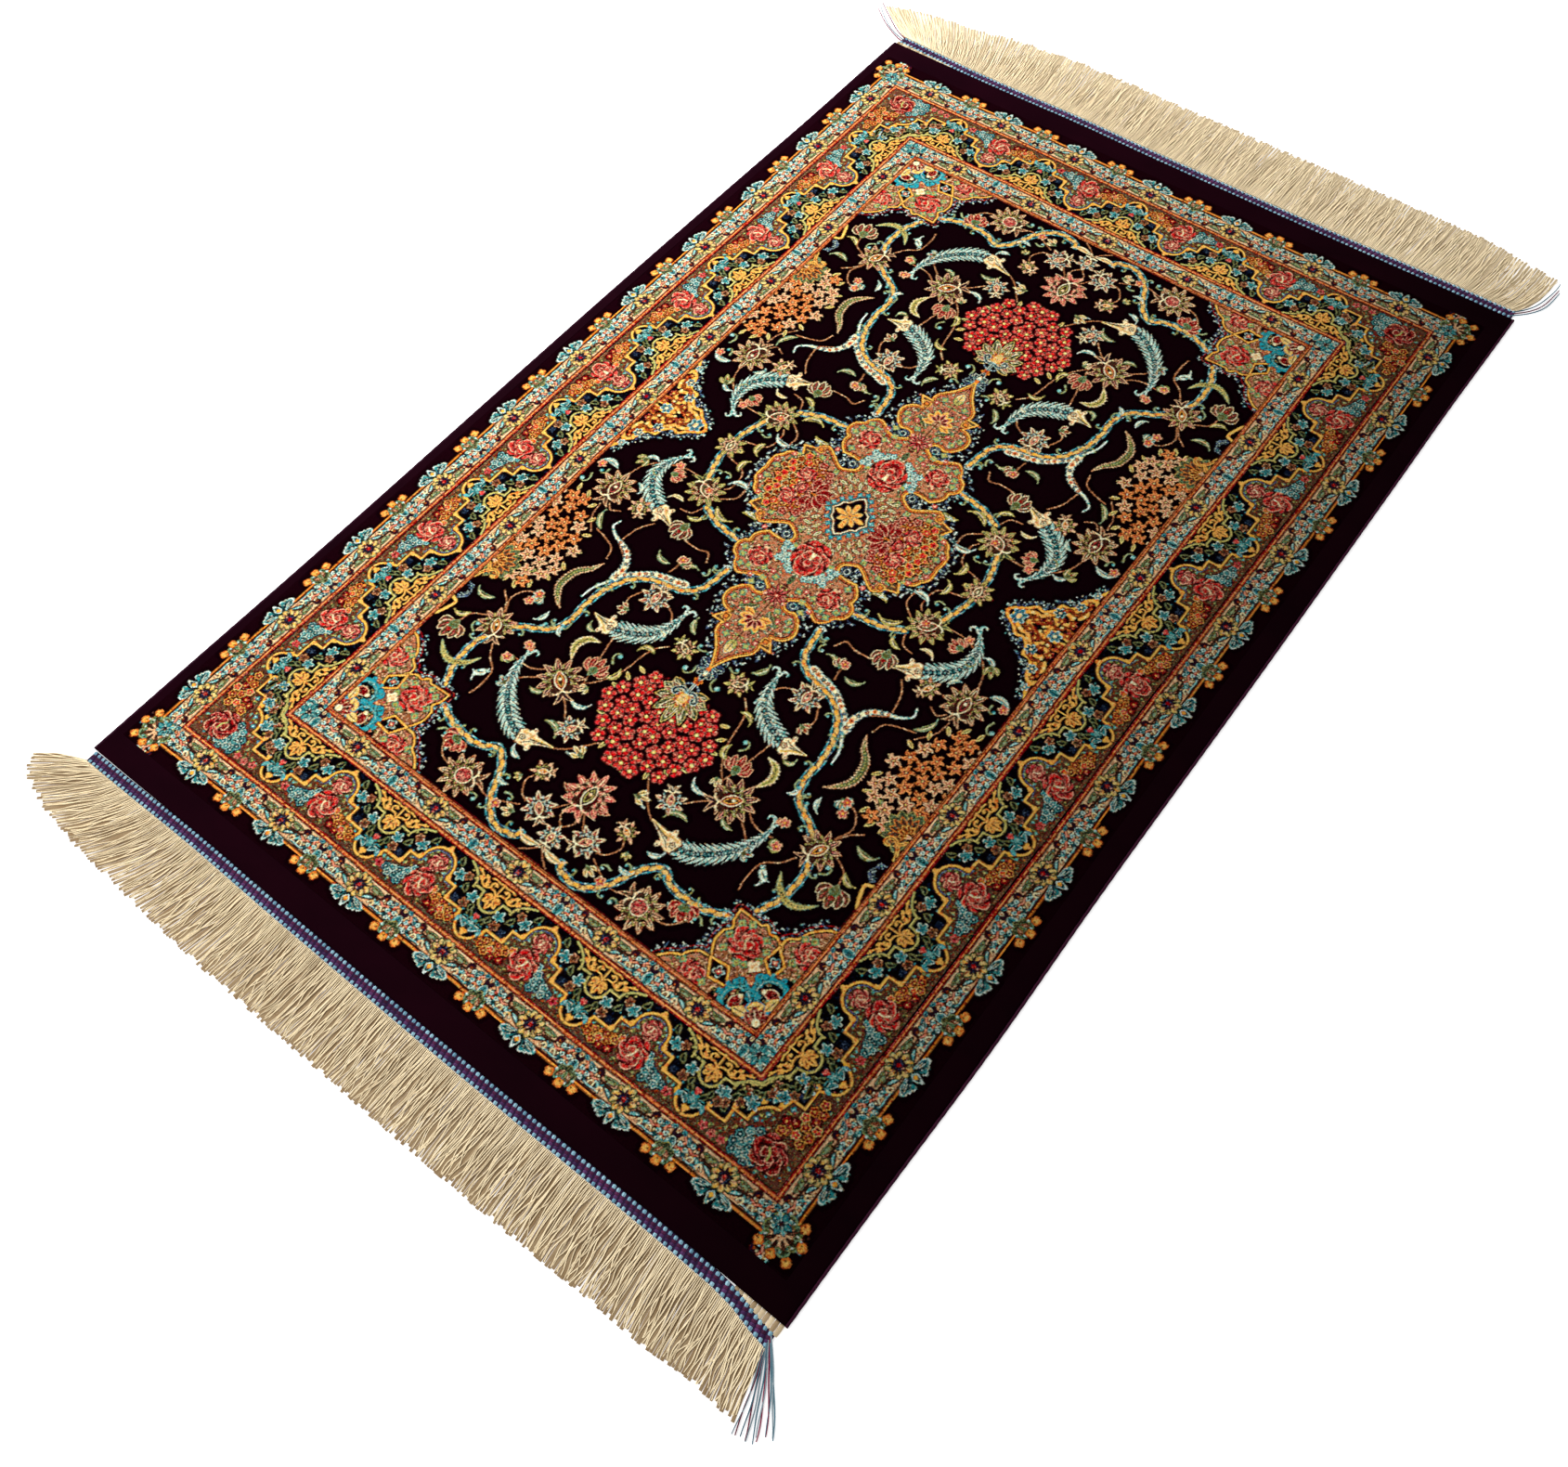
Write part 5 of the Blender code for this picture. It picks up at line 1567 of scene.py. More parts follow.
def folded_map(count_x, count_y, sections):
    """Bake map of a long strip of cells: cut into sections that lie side by side in the square."""
    per = int(np.ceil(count_y / sections))
    column, row = np.meshgrid(np.arange(count_x), np.arange(count_y), indexing="ij")
    part, inner = row // per, row % per
    corners = []
    for a, b in ((0, 0), (1, 0), (1, 1), (0, 1)):
        u = (part + 0.01 + 0.98 * (column + a) / count_x) / sections
        v = 0.02 + 0.975 * (inner + b) / per
        corners.append(np.stack([u, v], -1))
    return np.stack(corners, 2).reshape(-1, 4, 2)


def patterned_slab(name, x_range, y_range, cell, dyes, palette, material, sections=1):
    """One piece of the patterned pile: a fine grid at the pile's height, with low walls and a base.

    The base joins the two long rims by narrow strips, and the two short rims by fans.
    """
    x = np.linspace(*x_range, int(round((x_range[1] - x_range[0]) / cell)) + 1)
    y = np.linspace(*y_range, int(round((y_range[1] - y_range[0]) / cell)) + 1)
    gx, gy = np.meshgrid(x, y, indexing="ij")
    top = np.stack([gx, gy, pile_top(gx, gy)], -1)
    number = np.arange(gx.size).reshape(gx.shape)
    loop = rim_loop(number)
    base = top.reshape(-1, 3)[loop] - np.array([0, 0, SLAB])
    low = np.arange(len(loop)) + gx.size
    ahead = np.roll(low, -1)
    walls = np.stack([low, ahead, np.roll(loop, -1), loop], -1)
    nx, ny = len(x), len(y)
    near, right = low[:nx], low[nx - 1:nx + ny - 1]
    far = low[nx + ny - 2:2 * nx + ny - 2][::-1]
    left = np.concatenate([low[:1], low[:2 * nx + ny - 4:-1]])
    strips = np.stack([left[1:-2], left[2:-1], right[2:-1], right[1:-2]], -1)
    fans = [[left[1], near[k + 1], near[k]] for k in range(nx - 1)] + [[left[1], right[1], near[-1]]]
    fans += [[left[-2], far[k], far[k + 1]] for k in range(nx - 1)] + [[left[-2], far[-1], right[-2]]]
    quads = grid_quads(number)
    faces = quads.tolist() + walls.tolist() + strips.tolist() + fans
    points = np.concatenate([top.reshape(-1, 3), base])
    top_map = folded_map(nx - 1, ny - 1, sections)
    edge_map = np.concatenate([HEM_MAP[:len(face)] for face in faces[len(quads):]])
    others = len(edge_map)
    piece = new_piece(name, points, faces, material, np.concatenate([top_map.reshape(-1, 2), edge_map]))
    colours = cell_colours(x, y, dyes, palette).reshape(-1, 3)
    colours = np.concatenate([colours, np.tile(palette[DYE_NUMBER["plum"]], (others, 1))])
    colours = np.concatenate([colours, np.ones((len(colours), 1))], 1)
    layer = piece.data.color_attributes.new("dye", "FLOAT_COLOR", "CORNER")
    layer.data.foreach_set("color", colours.astype(np.float32).ravel())
    return piece


def patterned_pile(material):
    """The patterned pile in seven slabs: three for the field and four for the borders round it."""
    dyes = draw_chart()
    palette = linear(np.array(list(DYES.values())) / 255) ** DYE_DEPTH
    mid_x, mid_y = PATTERN_MIDDLE
    (fx, fy), (rx, ry) = FIELD_HALF, RIM_HALF
    rows = (
        ("pile_field_near", (-fx, fx), (-fy, -fy / 3), FIELD_CELL, 2),
        ("pile_field_middle", (-fx, fx), (-fy / 3, fy / 3), FIELD_CELL, 2),
        ("pile_field_far", (-fx, fx), (fy / 3, fy), FIELD_CELL, 2),
        ("pile_border_left", (-rx, -fx), (-ry, ry), BORDER_CELL, 3),
        ("pile_border_right", (fx, rx), (-ry, ry), BORDER_CELL, 3),
        ("pile_border_near", (-fx, fx), (-ry, -fy), BORDER_CELL, 1),
        ("pile_border_far", (-fx, fx), (fy, ry), BORDER_CELL, 1),
    )
    pieces = []
    for name, across, along, cell, sections in rows:
        across = (across[0] + mid_x, across[1] + mid_x)
        along = (along[0] + mid_y, along[1] + mid_y)
        pieces.append(patterned_slab(name, across, along, cell, dyes, palette, material, sections))
    return pieces


def ground_panel(material):
    """The plain silk panel: rounded rim, low waves, flat underside, sunk under the patterned slabs.

    A grid over the panel's outline, whose lines crowd at the rim and at the sunken part's edge. The
    height falls over EDGE_ROUND from the pile's to the rim's as a quarter circle.
    """
    (rx, ry), (mid_x, mid_y) = RIM_HALF, PATTERN_MIDDLE
    inset = SELVEDGE_WIDTH + GAP
    rim = np.array([0, 0.04, 0.15, 0.35, 0.65, 1.0]) * EDGE_ROUND

    def lines(half, middle, sunk):
        """Grid lines along one axis: the rim's, a few across the plain part, and the step's."""
        near = np.linspace(-half + rim[-1] + RIM_SPACE, middle - sunk - STEP_REACH, 9)
        far = np.linspace(middle + sunk + STEP_REACH, half - rim[-1] - RIM_SPACE, 9)
        inner = np.linspace(middle - sunk, middle + sunk, 24)
        return np.concatenate([-half + rim, near, inner, far, (half - rim)[::-1]])

    sx = lines(HALF_WIDTH - inset, mid_x, rx)
    sy = lines(HALF_LENGTH, mid_y, ry)
    gx, gy = np.meshgrid(sx, sy, indexing="ij")
    half_x = HALF_WIDTH - inset
    toward_x = np.clip((abs(gx) - rx) / (half_x - rx), 0, 1)
    toward_y = np.clip((abs(gy) - ry) / (HALF_LENGTH - ry), 0, 1)
    bend = np.where(gx > 0, side_edge(RIGHT, gy) - HALF_WIDTH, side_edge(LEFT, gy) + HALF_WIDTH)
    x = gx + bend * toward_x
    bend = np.where(gy > 0, end_edge(FAR, x) - HALF_LENGTH, end_edge(NEAR, x) + HALF_LENGTH)
    y = gy + bend * toward_y
    depth = np.minimum(half_x - abs(gx), HALF_LENGTH - abs(gy))
    fall = np.clip(1 - depth / EDGE_ROUND, 0, 1)
    top = pile_top(x, y) - (PILE_HEIGHT - EDGE_HEIGHT + RIM_SINK) * (1 - np.sqrt(1 - fall ** 2 * 0.999))
    sunk = (abs(gx - mid_x) <= rx + 1e-9) & (abs(gy - mid_y) <= ry + 1e-9)
    top = np.where(sunk, pile_top(x, y) - RECESS, top)
    number = np.arange(gx.size).reshape(gx.shape)
    shift = gx.size
    loop = rim_loop(number)
    ahead = np.roll(loop, -1)
    walls = np.stack([loop + shift, ahead + shift, ahead, loop], -1)
    quads = grid_quads(number)
    faces = np.concatenate([quads, quads[:, ::-1] + shift, walls]).tolist()
    low = np.where(depth < FOOT_REACH, FOOT_LIFT, 0.0)
    points = np.concatenate([np.stack([x, y, z], -1).reshape(-1, 3) for z in (top, low)])
    flat = np.stack([(x + 0.41) / 0.82 * 0.5, (y + 0.63) / 1.26], -1).reshape(-1, 2)
    both = np.concatenate([flat, flat + [0.5, 0]])
    uv = both[np.concatenate([quads.ravel(), quads[:, ::-1].ravel() + shift, walls.ravel()])]
    return new_piece("silk_ground", points, faces, material, uv)


# Threads and cords. A thread is a profile carried along its path, closed at both ends.


def carried(paths, radii, corners, flat=1.0, phase=0.0):
    """Points and faces of many like threads at once.

    paths is threads by stations by x, y, z, and radii threads by stations. Round each station the
    profile's corners lie at radius * (cos, flat * sin) across the path and upwards, so a thread
    keeps its width level with the floor. The ends are closed by a face.
    """
    ahead = np.gradient(paths[..., :2], axis=1)
    ahead /= np.maximum(np.linalg.norm(ahead, axis=-1, keepdims=True), 1e-9)
    across = np.stack([ahead[..., 1], -ahead[..., 0], 0 * ahead[..., 0]], -1)
    angle = 2 * np.pi * np.arange(corners) / corners + phase
    ring = (np.cos(angle)[:, None] * across[:, :, None, :]
            + (flat * np.sin(angle))[:, None] * np.array([0, 0, 1.0]))
    points = paths[:, :, None, :] + ring * radii[..., None, None]
    threads, stations = radii.shape
    number = np.arange(threads * stations * corners).reshape(threads, stations, corners)
    beside = np.roll(number, -1, axis=2)
    walls = np.stack([number[:, :-1], beside[:, :-1], beside[:, 1:], number[:, 1:]], -1)
    walls = walls[..., ::-1].reshape(-1, 4)
    caps = [*number[:, 0, :].tolist(), *number[:, -1, ::-1].tolist()]
    return points.reshape(-1, 3), walls, caps


def thread_piece(name, bundles, material, shades=None, phase=0.0):
    """One object from bundles of carried threads, each with its own number for the material.

    The attribute "thread" holds a number from 0 to 1 for each thread, and the bake map gives each
    thread its own narrow column, with the way along it upwards.
    """
    points, faces, uv, tint = [], [], [], []
    total = sum(len(paths) for paths, _, _, _ in bundles)
    first, column = 0, 0
    for index, (paths, radii, corners, flat) in enumerate(bundles):
        own, walls, caps = carried(paths, radii, corners, flat, phase)
        threads, stations = radii.shape
        points.append(own)
        faces += (walls + first).tolist() + [[v + first for v in cap] for cap in caps]
        place = np.zeros((threads, stations, corners, 2))
        ring = np.arange(corners) / corners
        place[..., 0] = (np.arange(threads)[:, None, None] + column + 0.1 + 0.8 * ring) / total
        place[..., 1] = (np.arange(stations)[None, :, None] + 0.5) / stations
        place = place.reshape(-1, 2)
        uv.append(place[walls.ravel()])
        uv.append(place[np.array(caps).ravel()])
        value = shades[index] if shades else np.random.default_rng(column + 3).random(threads)
        tint.append(np.repeat(value, stations * corners))
        first += len(own)
        column += threads
    piece = new_piece(name, np.concatenate(points), faces, material, np.concatenate(uv))
    layer = piece.data.attributes.new("thread", "FLOAT", "POINT")
    layer.data.foreach_set("value", np.concatenate(tint).astype(np.float32))
    return piece


# The two layers of a fringe, lower and upper: strands, stations, corners, radius, flatness, height.
# The lower layer's strands are dark: painted shade in the gaps between the upper strands
FRINGE_LAYERS = ((260, 5, 4, 0.00155, 0.3, 0.00045), (520, 16, 3, 0.00056, 0.6, 0.0012))


def fringe(name, end, seed, material):
    """The cut warps of one end: strands that follow the fan of FRINGE_FLOW and stray over each other.

    A strand's path is the flow's curve, plus a lean that it shares with its neighbours, a drift and
    waves of its own, and a height that lets it lie on the lower layer. It thins towards its cut end.
    """
    chance = np.random.default_rng(seed)
    table = np.array(FRINGE_FLOW[end])
    bundles, shades = [], []
    # Painted shade and light: the lower layer is near black at the near end and lighter at the far end,
    # and the far end's upper strands start a little lighter too
    under, low = (0.35, 0.50) if end > 0 else (0.0, 0.46)
    for layer, (count, stations, corners, radius, flatness, rise) in enumerate(FRINGE_LAYERS):
        root_x = BAND_REACH * (2 * (np.arange(count) + 0.5) / count - 1)
        way = np.linspace(0, 1, stations)
        column = [np.interp(root_x, table[:, 0], table[:, k]) for k in range(1, 5)]
        root = np.stack([root_x, band_outer_edge(end, root_x) + end * GAP * 0.5], -1)[:, None, :]
        reach = (1 - 0.03 * layer - 0.06 * chance.random(count) ** 2.0)[:, None]
        bend = root + np.stack([column[0], end * column[1]], -1)[:, None, :]
        tip = root + np.stack([column[2], end * column[3] * 1.03], -1)[:, None, :]
        flat = bezier(root, bend, tip, way[None, :] * reach)
        fall = column[3] / 0.065
        lean = 0.0016 * np.sin(60 * root_x + seed) + 0.0006 * np.sin(190 * root_x)
        drift = (lean + chance.standard_normal(count) * 0.0011 * layer) * fall
        wild = layer * (chance.random(count) < 0.25) * chance.standard_normal(count) * 0.0045
        wave = chance.standard_normal((count, 3)) * np.array([0.0008, 0.0012, 0.0009])
        wave = wave * (0.1 + 0.9 * layer)
        turns = np.array([1.2, 2.7, 4.3])[None, :, None]
        shift = 2 * np.pi * chance.random((count, 3))[:, :, None]
        sway = (wave[:, :, None] * np.sin(np.pi * turns * way[None, None, :] + shift)).sum(1) * way ** 0.6
        flat[..., 0] += (drift + wild)[:, None] * way ** 1.5 + sway
        level = chance.random(count)
        lift = rise + 0.0007 * layer * level[:, None] * np.sin(np.pi * np.clip(way * 1.1, 0, 1)) ** 0.5
        height = lift + 0.0007 * (1 - way) ** 6 - layer * 0.00045 * way ** 3
        pulse = 1 + 0.12 * np.sin(26 * np.pi * way[None, :] * reach + 6.3 * level[:, None])
        width = radius * (0.85 + 0.3 * chance.random(count))[:, None] * pulse * (1 - 0.15 * way ** 5)
        bundles.append((np.concatenate([flat, height[..., None]], -1), width, corners, flatness))
        shades.append(under + 0.10 * level if layer == 0 else low + 0.70 * chance.random(count) ** 0.6)
    # The broad face of each strand looks to the left at both ends
    return thread_piece(name, bundles, material, shades, np.pi * (end > 0))


def fringe_loops(name, end, material):
    """The row of small warp loops along the band's outer edge, where the fringe's strands leave it."""
    count = 150
    x = BAND_REACH * (2 * (np.arange(count) + 0.5) / count - 1)
    way = np.linspace(-1, 1, 5)
    pitch = 2 * BAND_REACH / count
    px = x[:, None] + 0.42 * pitch * way[None, :]
    py = band_outer_edge(end, px) + end * (0.0007 + 0.0009 * (1 - way ** 2)[None, :])
    pz = 0.0011 + 0.0006 * (1 - way ** 2)[None, :] + 0 * px
    radii = np.full(px.shape, 0.00062) * (0.55 + 0.45 * np.sqrt(np.maximum(1 - way ** 2, 0)))
    return thread_piece(name, [(np.stack([px, py, pz], -1), radii, 4, 0.9)], material)


STITCHES = 154


def end_band(name, end, materials):
    """The twined band: short slanted stitches of two colours side by side, over a flat ground.

    Each stitch is a bead drawn across the band, from the pile's side to the fringe's: light blue
    pearls at both edges, and plum and violet in the middle.
    """
    x = BAND_REACH * (2 * (np.arange(STITCHES) + 0.5) / STITCHES - 1)
    pitch = 2 * BAND_REACH / STITCHES
    chance = np.random.default_rng(31 + end)
    slant = 0.22 * pitch + 0.05 * pitch * chance.standard_normal(STITCHES)
    jitter = 1 + 0.06 * chance.standard_normal(STITCHES)
    # Rows of the band: share across it at the start and stop, half width in pitches, material, height
    rows = (
        (0.00, 0.31, 0.30, 0, 0.0013), (0.27, 0.52, 0.36, 1, 0.0010), (0.49, 0.74, 0.36, 2, 0.0010),
        (0.70, 1.00, 0.30, 0, 0.0012),
    )
    pieces = {}
    for start, stop, half, which, rise in rows:
        way = np.linspace(0, 1, 5)
        share = start + (stop - start) * way
        px = x[:, None] + (share[None, :] - 0.5) * slant[:, None] * 2
        inner, outer = band_inner_edge(end, px), band_outer_edge(end, px)
        py = inner + (outer - inner) * share[None, :]
        bulge = np.sqrt(np.clip(1 - (2 * way - 1) ** 2, 0, 1))
        radii = pitch * half * jitter[:, None] * (0.65 + 0.35 * bulge)[None, :]
        pz = 0.0009 + rise * 0.4 * bulge[None, :] + 0 * px
        pieces.setdefault(which, []).append((np.stack([px, py, pz], -1), radii, 4, 0.6))
    made = []
    for which, bundles in pieces.items():
        made.append(thread_piece(f"{name}_{('edge_stitches', 'plum_stitches', 'violet_stitches')[which]}",
            bundles, materials[which]))
    return made


def strip(name, inner, outer, height, material):
    """A low closed strip between two edge lines, with rounded shoulders."""
    section = np.array([[0, 0], [1, 0], [1, 0.6], [0.86, 1], [0.14, 1], [0, 0.6]])
    flat = inner[:, None, :] + (outer - inner)[:, None, :] * section[None, :, 0, None]
    rise = np.broadcast_to(section[None, :, 1, None] * height, flat.shape[:2] + (1,))
    points = np.concatenate([flat, rise], -1)
    rings, corners = points.shape[:2]
    number = np.arange(rings * corners).reshape(rings, corners)
    beside = np.roll(number, -1, axis=1)
    walls = np.stack([number[:-1], beside[:-1], beside[1:], number[1:]], -1).reshape(-1, 4)
    faces = walls.tolist() + [number[0, ::-1].tolist(), number[-1].tolist()]
    if np.cross(outer[0] - inner[0], inner[1] - inner[0]) < 0:
        faces = [face[::-1] for face in faces]
    return new_piece(name, points.reshape(-1, 3), faces, material)


def band_ground(name, end, material):
    """The flat woven ground under the band's stitches."""
    x = np.linspace(-BAND_REACH, BAND_REACH, 161)
    inner = np.stack([x, band_inner_edge(end, x) - end * 0.95 * GAP], -1)
    outer = np.stack([x, band_outer_edge(end, x) - end * 0.0004], -1)
    return strip(name, inner, outer, 0.0011, material)


def warp_ribs(name, end, start, stop, ribs, material):
    """The bare bunched warps between a band that stands off and the pile: plump cords side by side."""
    x = np.linspace(start, stop, ribs)
    way = np.linspace(0, 1, 9)
    pitch = (stop - start) / (ribs - 1)
    px = x[:, None] + 0 * way[None, :]
    near = end_edge(end, x)[:, None] - end * 0.0004
    far = band_inner_edge(end, x)[:, None] + end * 0.0008
    py = near + (far - near) * way[None, :]
    radii = pitch * 0.46 * (0.9 + 0.18 * np.sin(np.pi * way))[None, :] + 0 * px
    pz = 0.0009 + 0 * px
    return thread_piece(name, [(np.stack([px, py, pz], -1), radii, 7, 0.42)], material)


# Stations along a side cord, stations to one turn of its wrapping, corners of its ring, strips of UV
CORD_STATIONS = 400
TURN_STATIONS = 4
CORD_CORNERS = 10
CORD_STRIPS = 16


def selvedge(name, side, material):
    """The overcast side cord: a rounded cord whose wrapping shows as a slanted ripple along it.

    At each station the radius is the cord's, less a ripple of sin(2 pi * turn - corner's angle),
    where turn = station / stations to a turn.
    """
    stations, corners = CORD_STATIONS, CORD_CORNERS
    y = np.linspace(-HALF_LENGTH, HALF_LENGTH, stations)
    width = SELVEDGE_WIDTH + 1.7 * GAP
    middle = side_edge(side, y) - side * width / 2
    path = np.stack([middle, y, np.full(stations, SELVEDGE_HEIGHT / 2)], -1)[None]
    radii = np.full((1, stations), width / 2)
    points, walls, caps = carried(path, radii, corners, SELVEDGE_HEIGHT / width)
    points = points.reshape(stations, corners, 3)
    wound = np.arange(stations)[:, None] * 2 * np.pi / TURN_STATIONS
    turn_of = wound - np.arange(corners)[None, :] * 2 * np.pi / corners
    inward = 1 - 0.07 * (1 + np.sin(turn_of))
    centre = path[0][:, None, :]
    points = centre + (points - centre) * inward[..., None]
    points[..., 2] = np.maximum(points[..., 2], 0.00005)
    ring = np.arange(corners) / corners
    along = (y + HALF_LENGTH) / LENGTH
    part = np.minimum((along * CORD_STRIPS).astype(int), CORD_STRIPS - 1)
    shape = (stations, corners)
    across = np.broadcast_to((part[:, None] + 0.05 + 0.9 * ring[None, :]) / CORD_STRIPS, shape)
    up = np.broadcast_to((along * CORD_STRIPS - part)[:, None] * 0.98 + 0.01, shape)
    place = np.stack([across, up], -1).reshape(-1, 2)
    uv = np.concatenate([place[walls.ravel()], place[np.array(caps).ravel()]])
    return new_piece(name, points.reshape(-1, 3), walls.tolist() + caps, material, uv)


def loose_threads(name, materials):
    """Loose ends of the band's own coloured threads: each row of the tuft has every colour but one."""
    end, side, rows = THREAD_TUFTS[name]
    table = np.array(rows)
    count = len(table)
    chance = np.random.default_rng(len(name))
    way = np.linspace(0, 1, 14)
    band_end = side * (BAND_REACH - 0.002)
    made = []
    for colour, material in enumerate(materials):
        strands = []
        for k in range(count):
            if (k + colour) % len(materials) == 0:
                continue
            first = np.array([band_end, band_outer_edge(end, band_end)])
            root = first - np.array([0.0, end * BAND_WIDTH * 0.85 * (k + 0.5) / count])
            stray = chance.normal(0, 0.0014, (2, 2))
            bend = table[k, :2] + stray[0]
            tip = table[k, 2:] + stray[1]
            flat = bezier(root[None], bend[None], tip[None], way * (1 - 0.12 * chance.random()))
            sway = 0.0011 * np.sin(2 * np.pi * (1.2 * way + chance.random())) * way
            flat[:, 0] += sway
            z = np.full(len(way), 0.0007 + 0.0004 * chance.random()) + 0.0006 * (1 - way) ** 3
            strands.append(np.concatenate([flat, z[:, None]], -1))
        paths = np.array(strands)
        radii = np.full(paths.shape[:2], 0.00068) * (1 - 0.3 * way ** 4)
        made.append(thread_piece(f"{name}_{colour + 1}", [(paths, radii, 5, 1.0)], material))
    return made


# Materials


class Value:
    """A number that runs through shader nodes. Its operators add Math nodes to the tree."""

    def __init__(self, tree, socket):
        self.tree, self.socket = tree, socket

    def math(self, operation, *others):
        """A Math node on this value and the others."""
        return self.tree.node("ShaderNodeMath", {"operation": operation}, [self, *others])

    def __add__(self, other):
        return self.math("ADD", other)

    __radd__ = __add__

    def __mul__(self, other):
        return self.math("MULTIPLY", other)

    __rmul__ = __mul__

    def __sub__(self, other):
        return self.math("SUBTRACT", other)

    def __rsub__(self, other):
        return self.tree.node("ShaderNodeMath", {"operation": "SUBTRACT"}, [other, self])


class Finish:
    """A material under construction: a node tree with one way to add any node."""

    def __init__(self, name):
        self.material = bpy.data.materials.new(name)
        self.material.use_nodes = True
        self.nodes = self.material.node_tree.nodes
        self.links = self.material.node_tree.links
        self.shader = self.nodes["Principled BSDF"]

    def feed(self, socket, value):
        """Set a socket to a constant, or link it to a Value."""
        if isinstance(value, Value):
            self.links.new(value.socket, socket)
        else:
            socket.default_value = value

    def node(self, kind, settings=None, values=(), out=0):
        """Any node: its settings first, then its sockets by order or by name."""
        made = self.nodes.new(kind)
        for key, setting in (settings or {}).items():
            if key == "stops":
                ramp = made.color_ramp
                for k, (place, colour) in enumerate(setting):
                    stop = ramp.elements[k] if k < 2 else ramp.elements.new(place)
                    stop.position, stop.color = place, (*colour, 1.0)
            else:
                setattr(made, key, setting)
        pairs = values.items() if isinstance(values, dict) else enumerate(values)
        for key, value in pairs:
            self.feed(made.inputs[key], value)
        return Value(self, made.outputs[out])

    def mix(self, factor, first, second, blend="MIX"):
        """Mix of two colours."""
        made = self.nodes.new("ShaderNodeMix")
        made.data_type, made.blend_type = "RGBA", blend
        for socket, value in zip([made.inputs[0], made.inputs[6], made.inputs[7]],
                (factor, first, second)):
            if not isinstance(value, (Value, float, int)):
                value = (*value, 1.0)
            self.feed(socket, value)
        return Value(self, made.outputs[2])

    def noise(self, place, scale, detail=2.0, roughness=0.5):
        """Noise on a place, as a number about 0.5."""
        values = {"Vector": place, "Scale": scale, "Detail": detail, "Roughness": roughness}
        return self.node("ShaderNodeTexNoise", {}, values)

    def place(self):
        """Object coordinates, in metres of the rug."""
        return self.node("ShaderNodeTexCoord", {}, out="Object")

    def stretched(self, place, scale):
        """A place scaled along each axis."""
        return self.node("ShaderNodeMapping", {}, {"Vector": place, "Scale": scale})

    def finish(self, base, roughness, bump=None, bump_depth=0.0001, specular=0.5):
        """Wire the shader: varying values to colour, roughness and bump, constants on the sockets."""
        self.feed(self.shader.inputs["Base Color"], base if isinstance(base, Value) else (*base, 1.0))
        self.feed(self.shader.inputs["Roughness"], roughness)
        self.shader.inputs["Specular IOR Level"].default_value = specular
        if bump is not None:
            values = {"Strength": 1.0, "Distance": bump_depth, "Height": bump}
            self.feed(self.shader.inputs["Normal"], self.node("ShaderNodeBump", {}, values))
        return self.material


def pile_bump(finish, place):
    """Height of the clipped knots: fine grains in rows, slightly longer across the rug."""
    grain = finish.noise(finish.stretched(place, (1400, 1900, 1400)), 1.0, 1.5, 0.6)
    rows = finish.noise(finish.stretched(place, (300, 2200, 300)), 1.0, 1.0)
    soft = finish.noise(place, 160.0, 2.0)
    return grain * 0.55 + rows * 0.25 + soft * 0.5


def painted_right_shade(finish, place):
    """Painted shade: a factor on the silk's colour that darkens it towards the right, standing in for its
    sheen, which is weaker there.

    It is 1 - x / 2, times a smooth step from 1 at x = 0.12 to 0.62 at x = 0.40.
    """
    side = finish.node("ShaderNodeSeparateXYZ", {}, [place])
    edge = finish.node("ShaderNodeMapRange", {"interpolation_type": "SMOOTHSTEP"},
        {"Value": side, "From Min": 0.12, "From Max": 0.40, "To Min": 1.0, "To Max": 0.62})
    return (1.0 - side * 0.5) * edge


def shaded(finish, colour, level):
    """A colour times a number that varies."""
    grey = finish.node("ShaderNodeCombineColor", {}, [level, level, level])
    return finish.mix(1.0, colour, grey, "MULTIPLY")


def patterned_silk():
    """The patterned pile: the dye of each knot, with fine grain, slow changes of dye lot, and painted
    shade towards the right.
    """
    finish = Finish("patterned_silk")
    place = finish.place()
    dye = finish.node("ShaderNodeVertexColor", {"layer_name": "dye"})
    grain = finish.noise(finish.stretched(place, (1000, 1300, 1000)), 1.0, 1.0, 0.5)
    lots = finish.noise(finish.stretched(place, (3.0, 16.0, 3.0)), 1.0, 2.0)
    # Light level of the knots: random grain and dye lot, times painted shade that darkens the right side
    level = (0.15 + grain * 1.02 + lots * 0.16) * painted_right_shade(finish, place)
    return finish.finish(shaded(finish, dye, level), 0.55 + grain * 0.2, pile_bump(finish, place),
        0.00018, specular=0.0)


def plain_silk():
    """The plain aubergine silk of the outer band: nearly black, with a dull purple bloom in patches, and
    painted shade towards the right.
    """
    finish = Finish("plain_silk")
    place = finish.place()
    cloud = finish.noise(finish.stretched(place, (14.0, 22.0, 14.0)), 1.0, 3.0, 0.55)
    grain = finish.noise(finish.stretched(place, (1500, 2100, 1500)), 1.0, 1.0, 0.5)
    base = finish.mix(cloud, (0.0024, 0.0003, 0.0012), (0.0104, 0.0009, 0.0033))
    base = finish.mix(grain * 0.3, base, (0.014, 0.0022, 0.0056))
    # Painted shade: the plain silk is made darker towards the right
    base = shaded(finish, base, painted_right_shade(finish, place))
    return finish.finish(base, 0.55 + grain * 0.2, pile_bump(finish, place), 0.00018, specular=0.004)


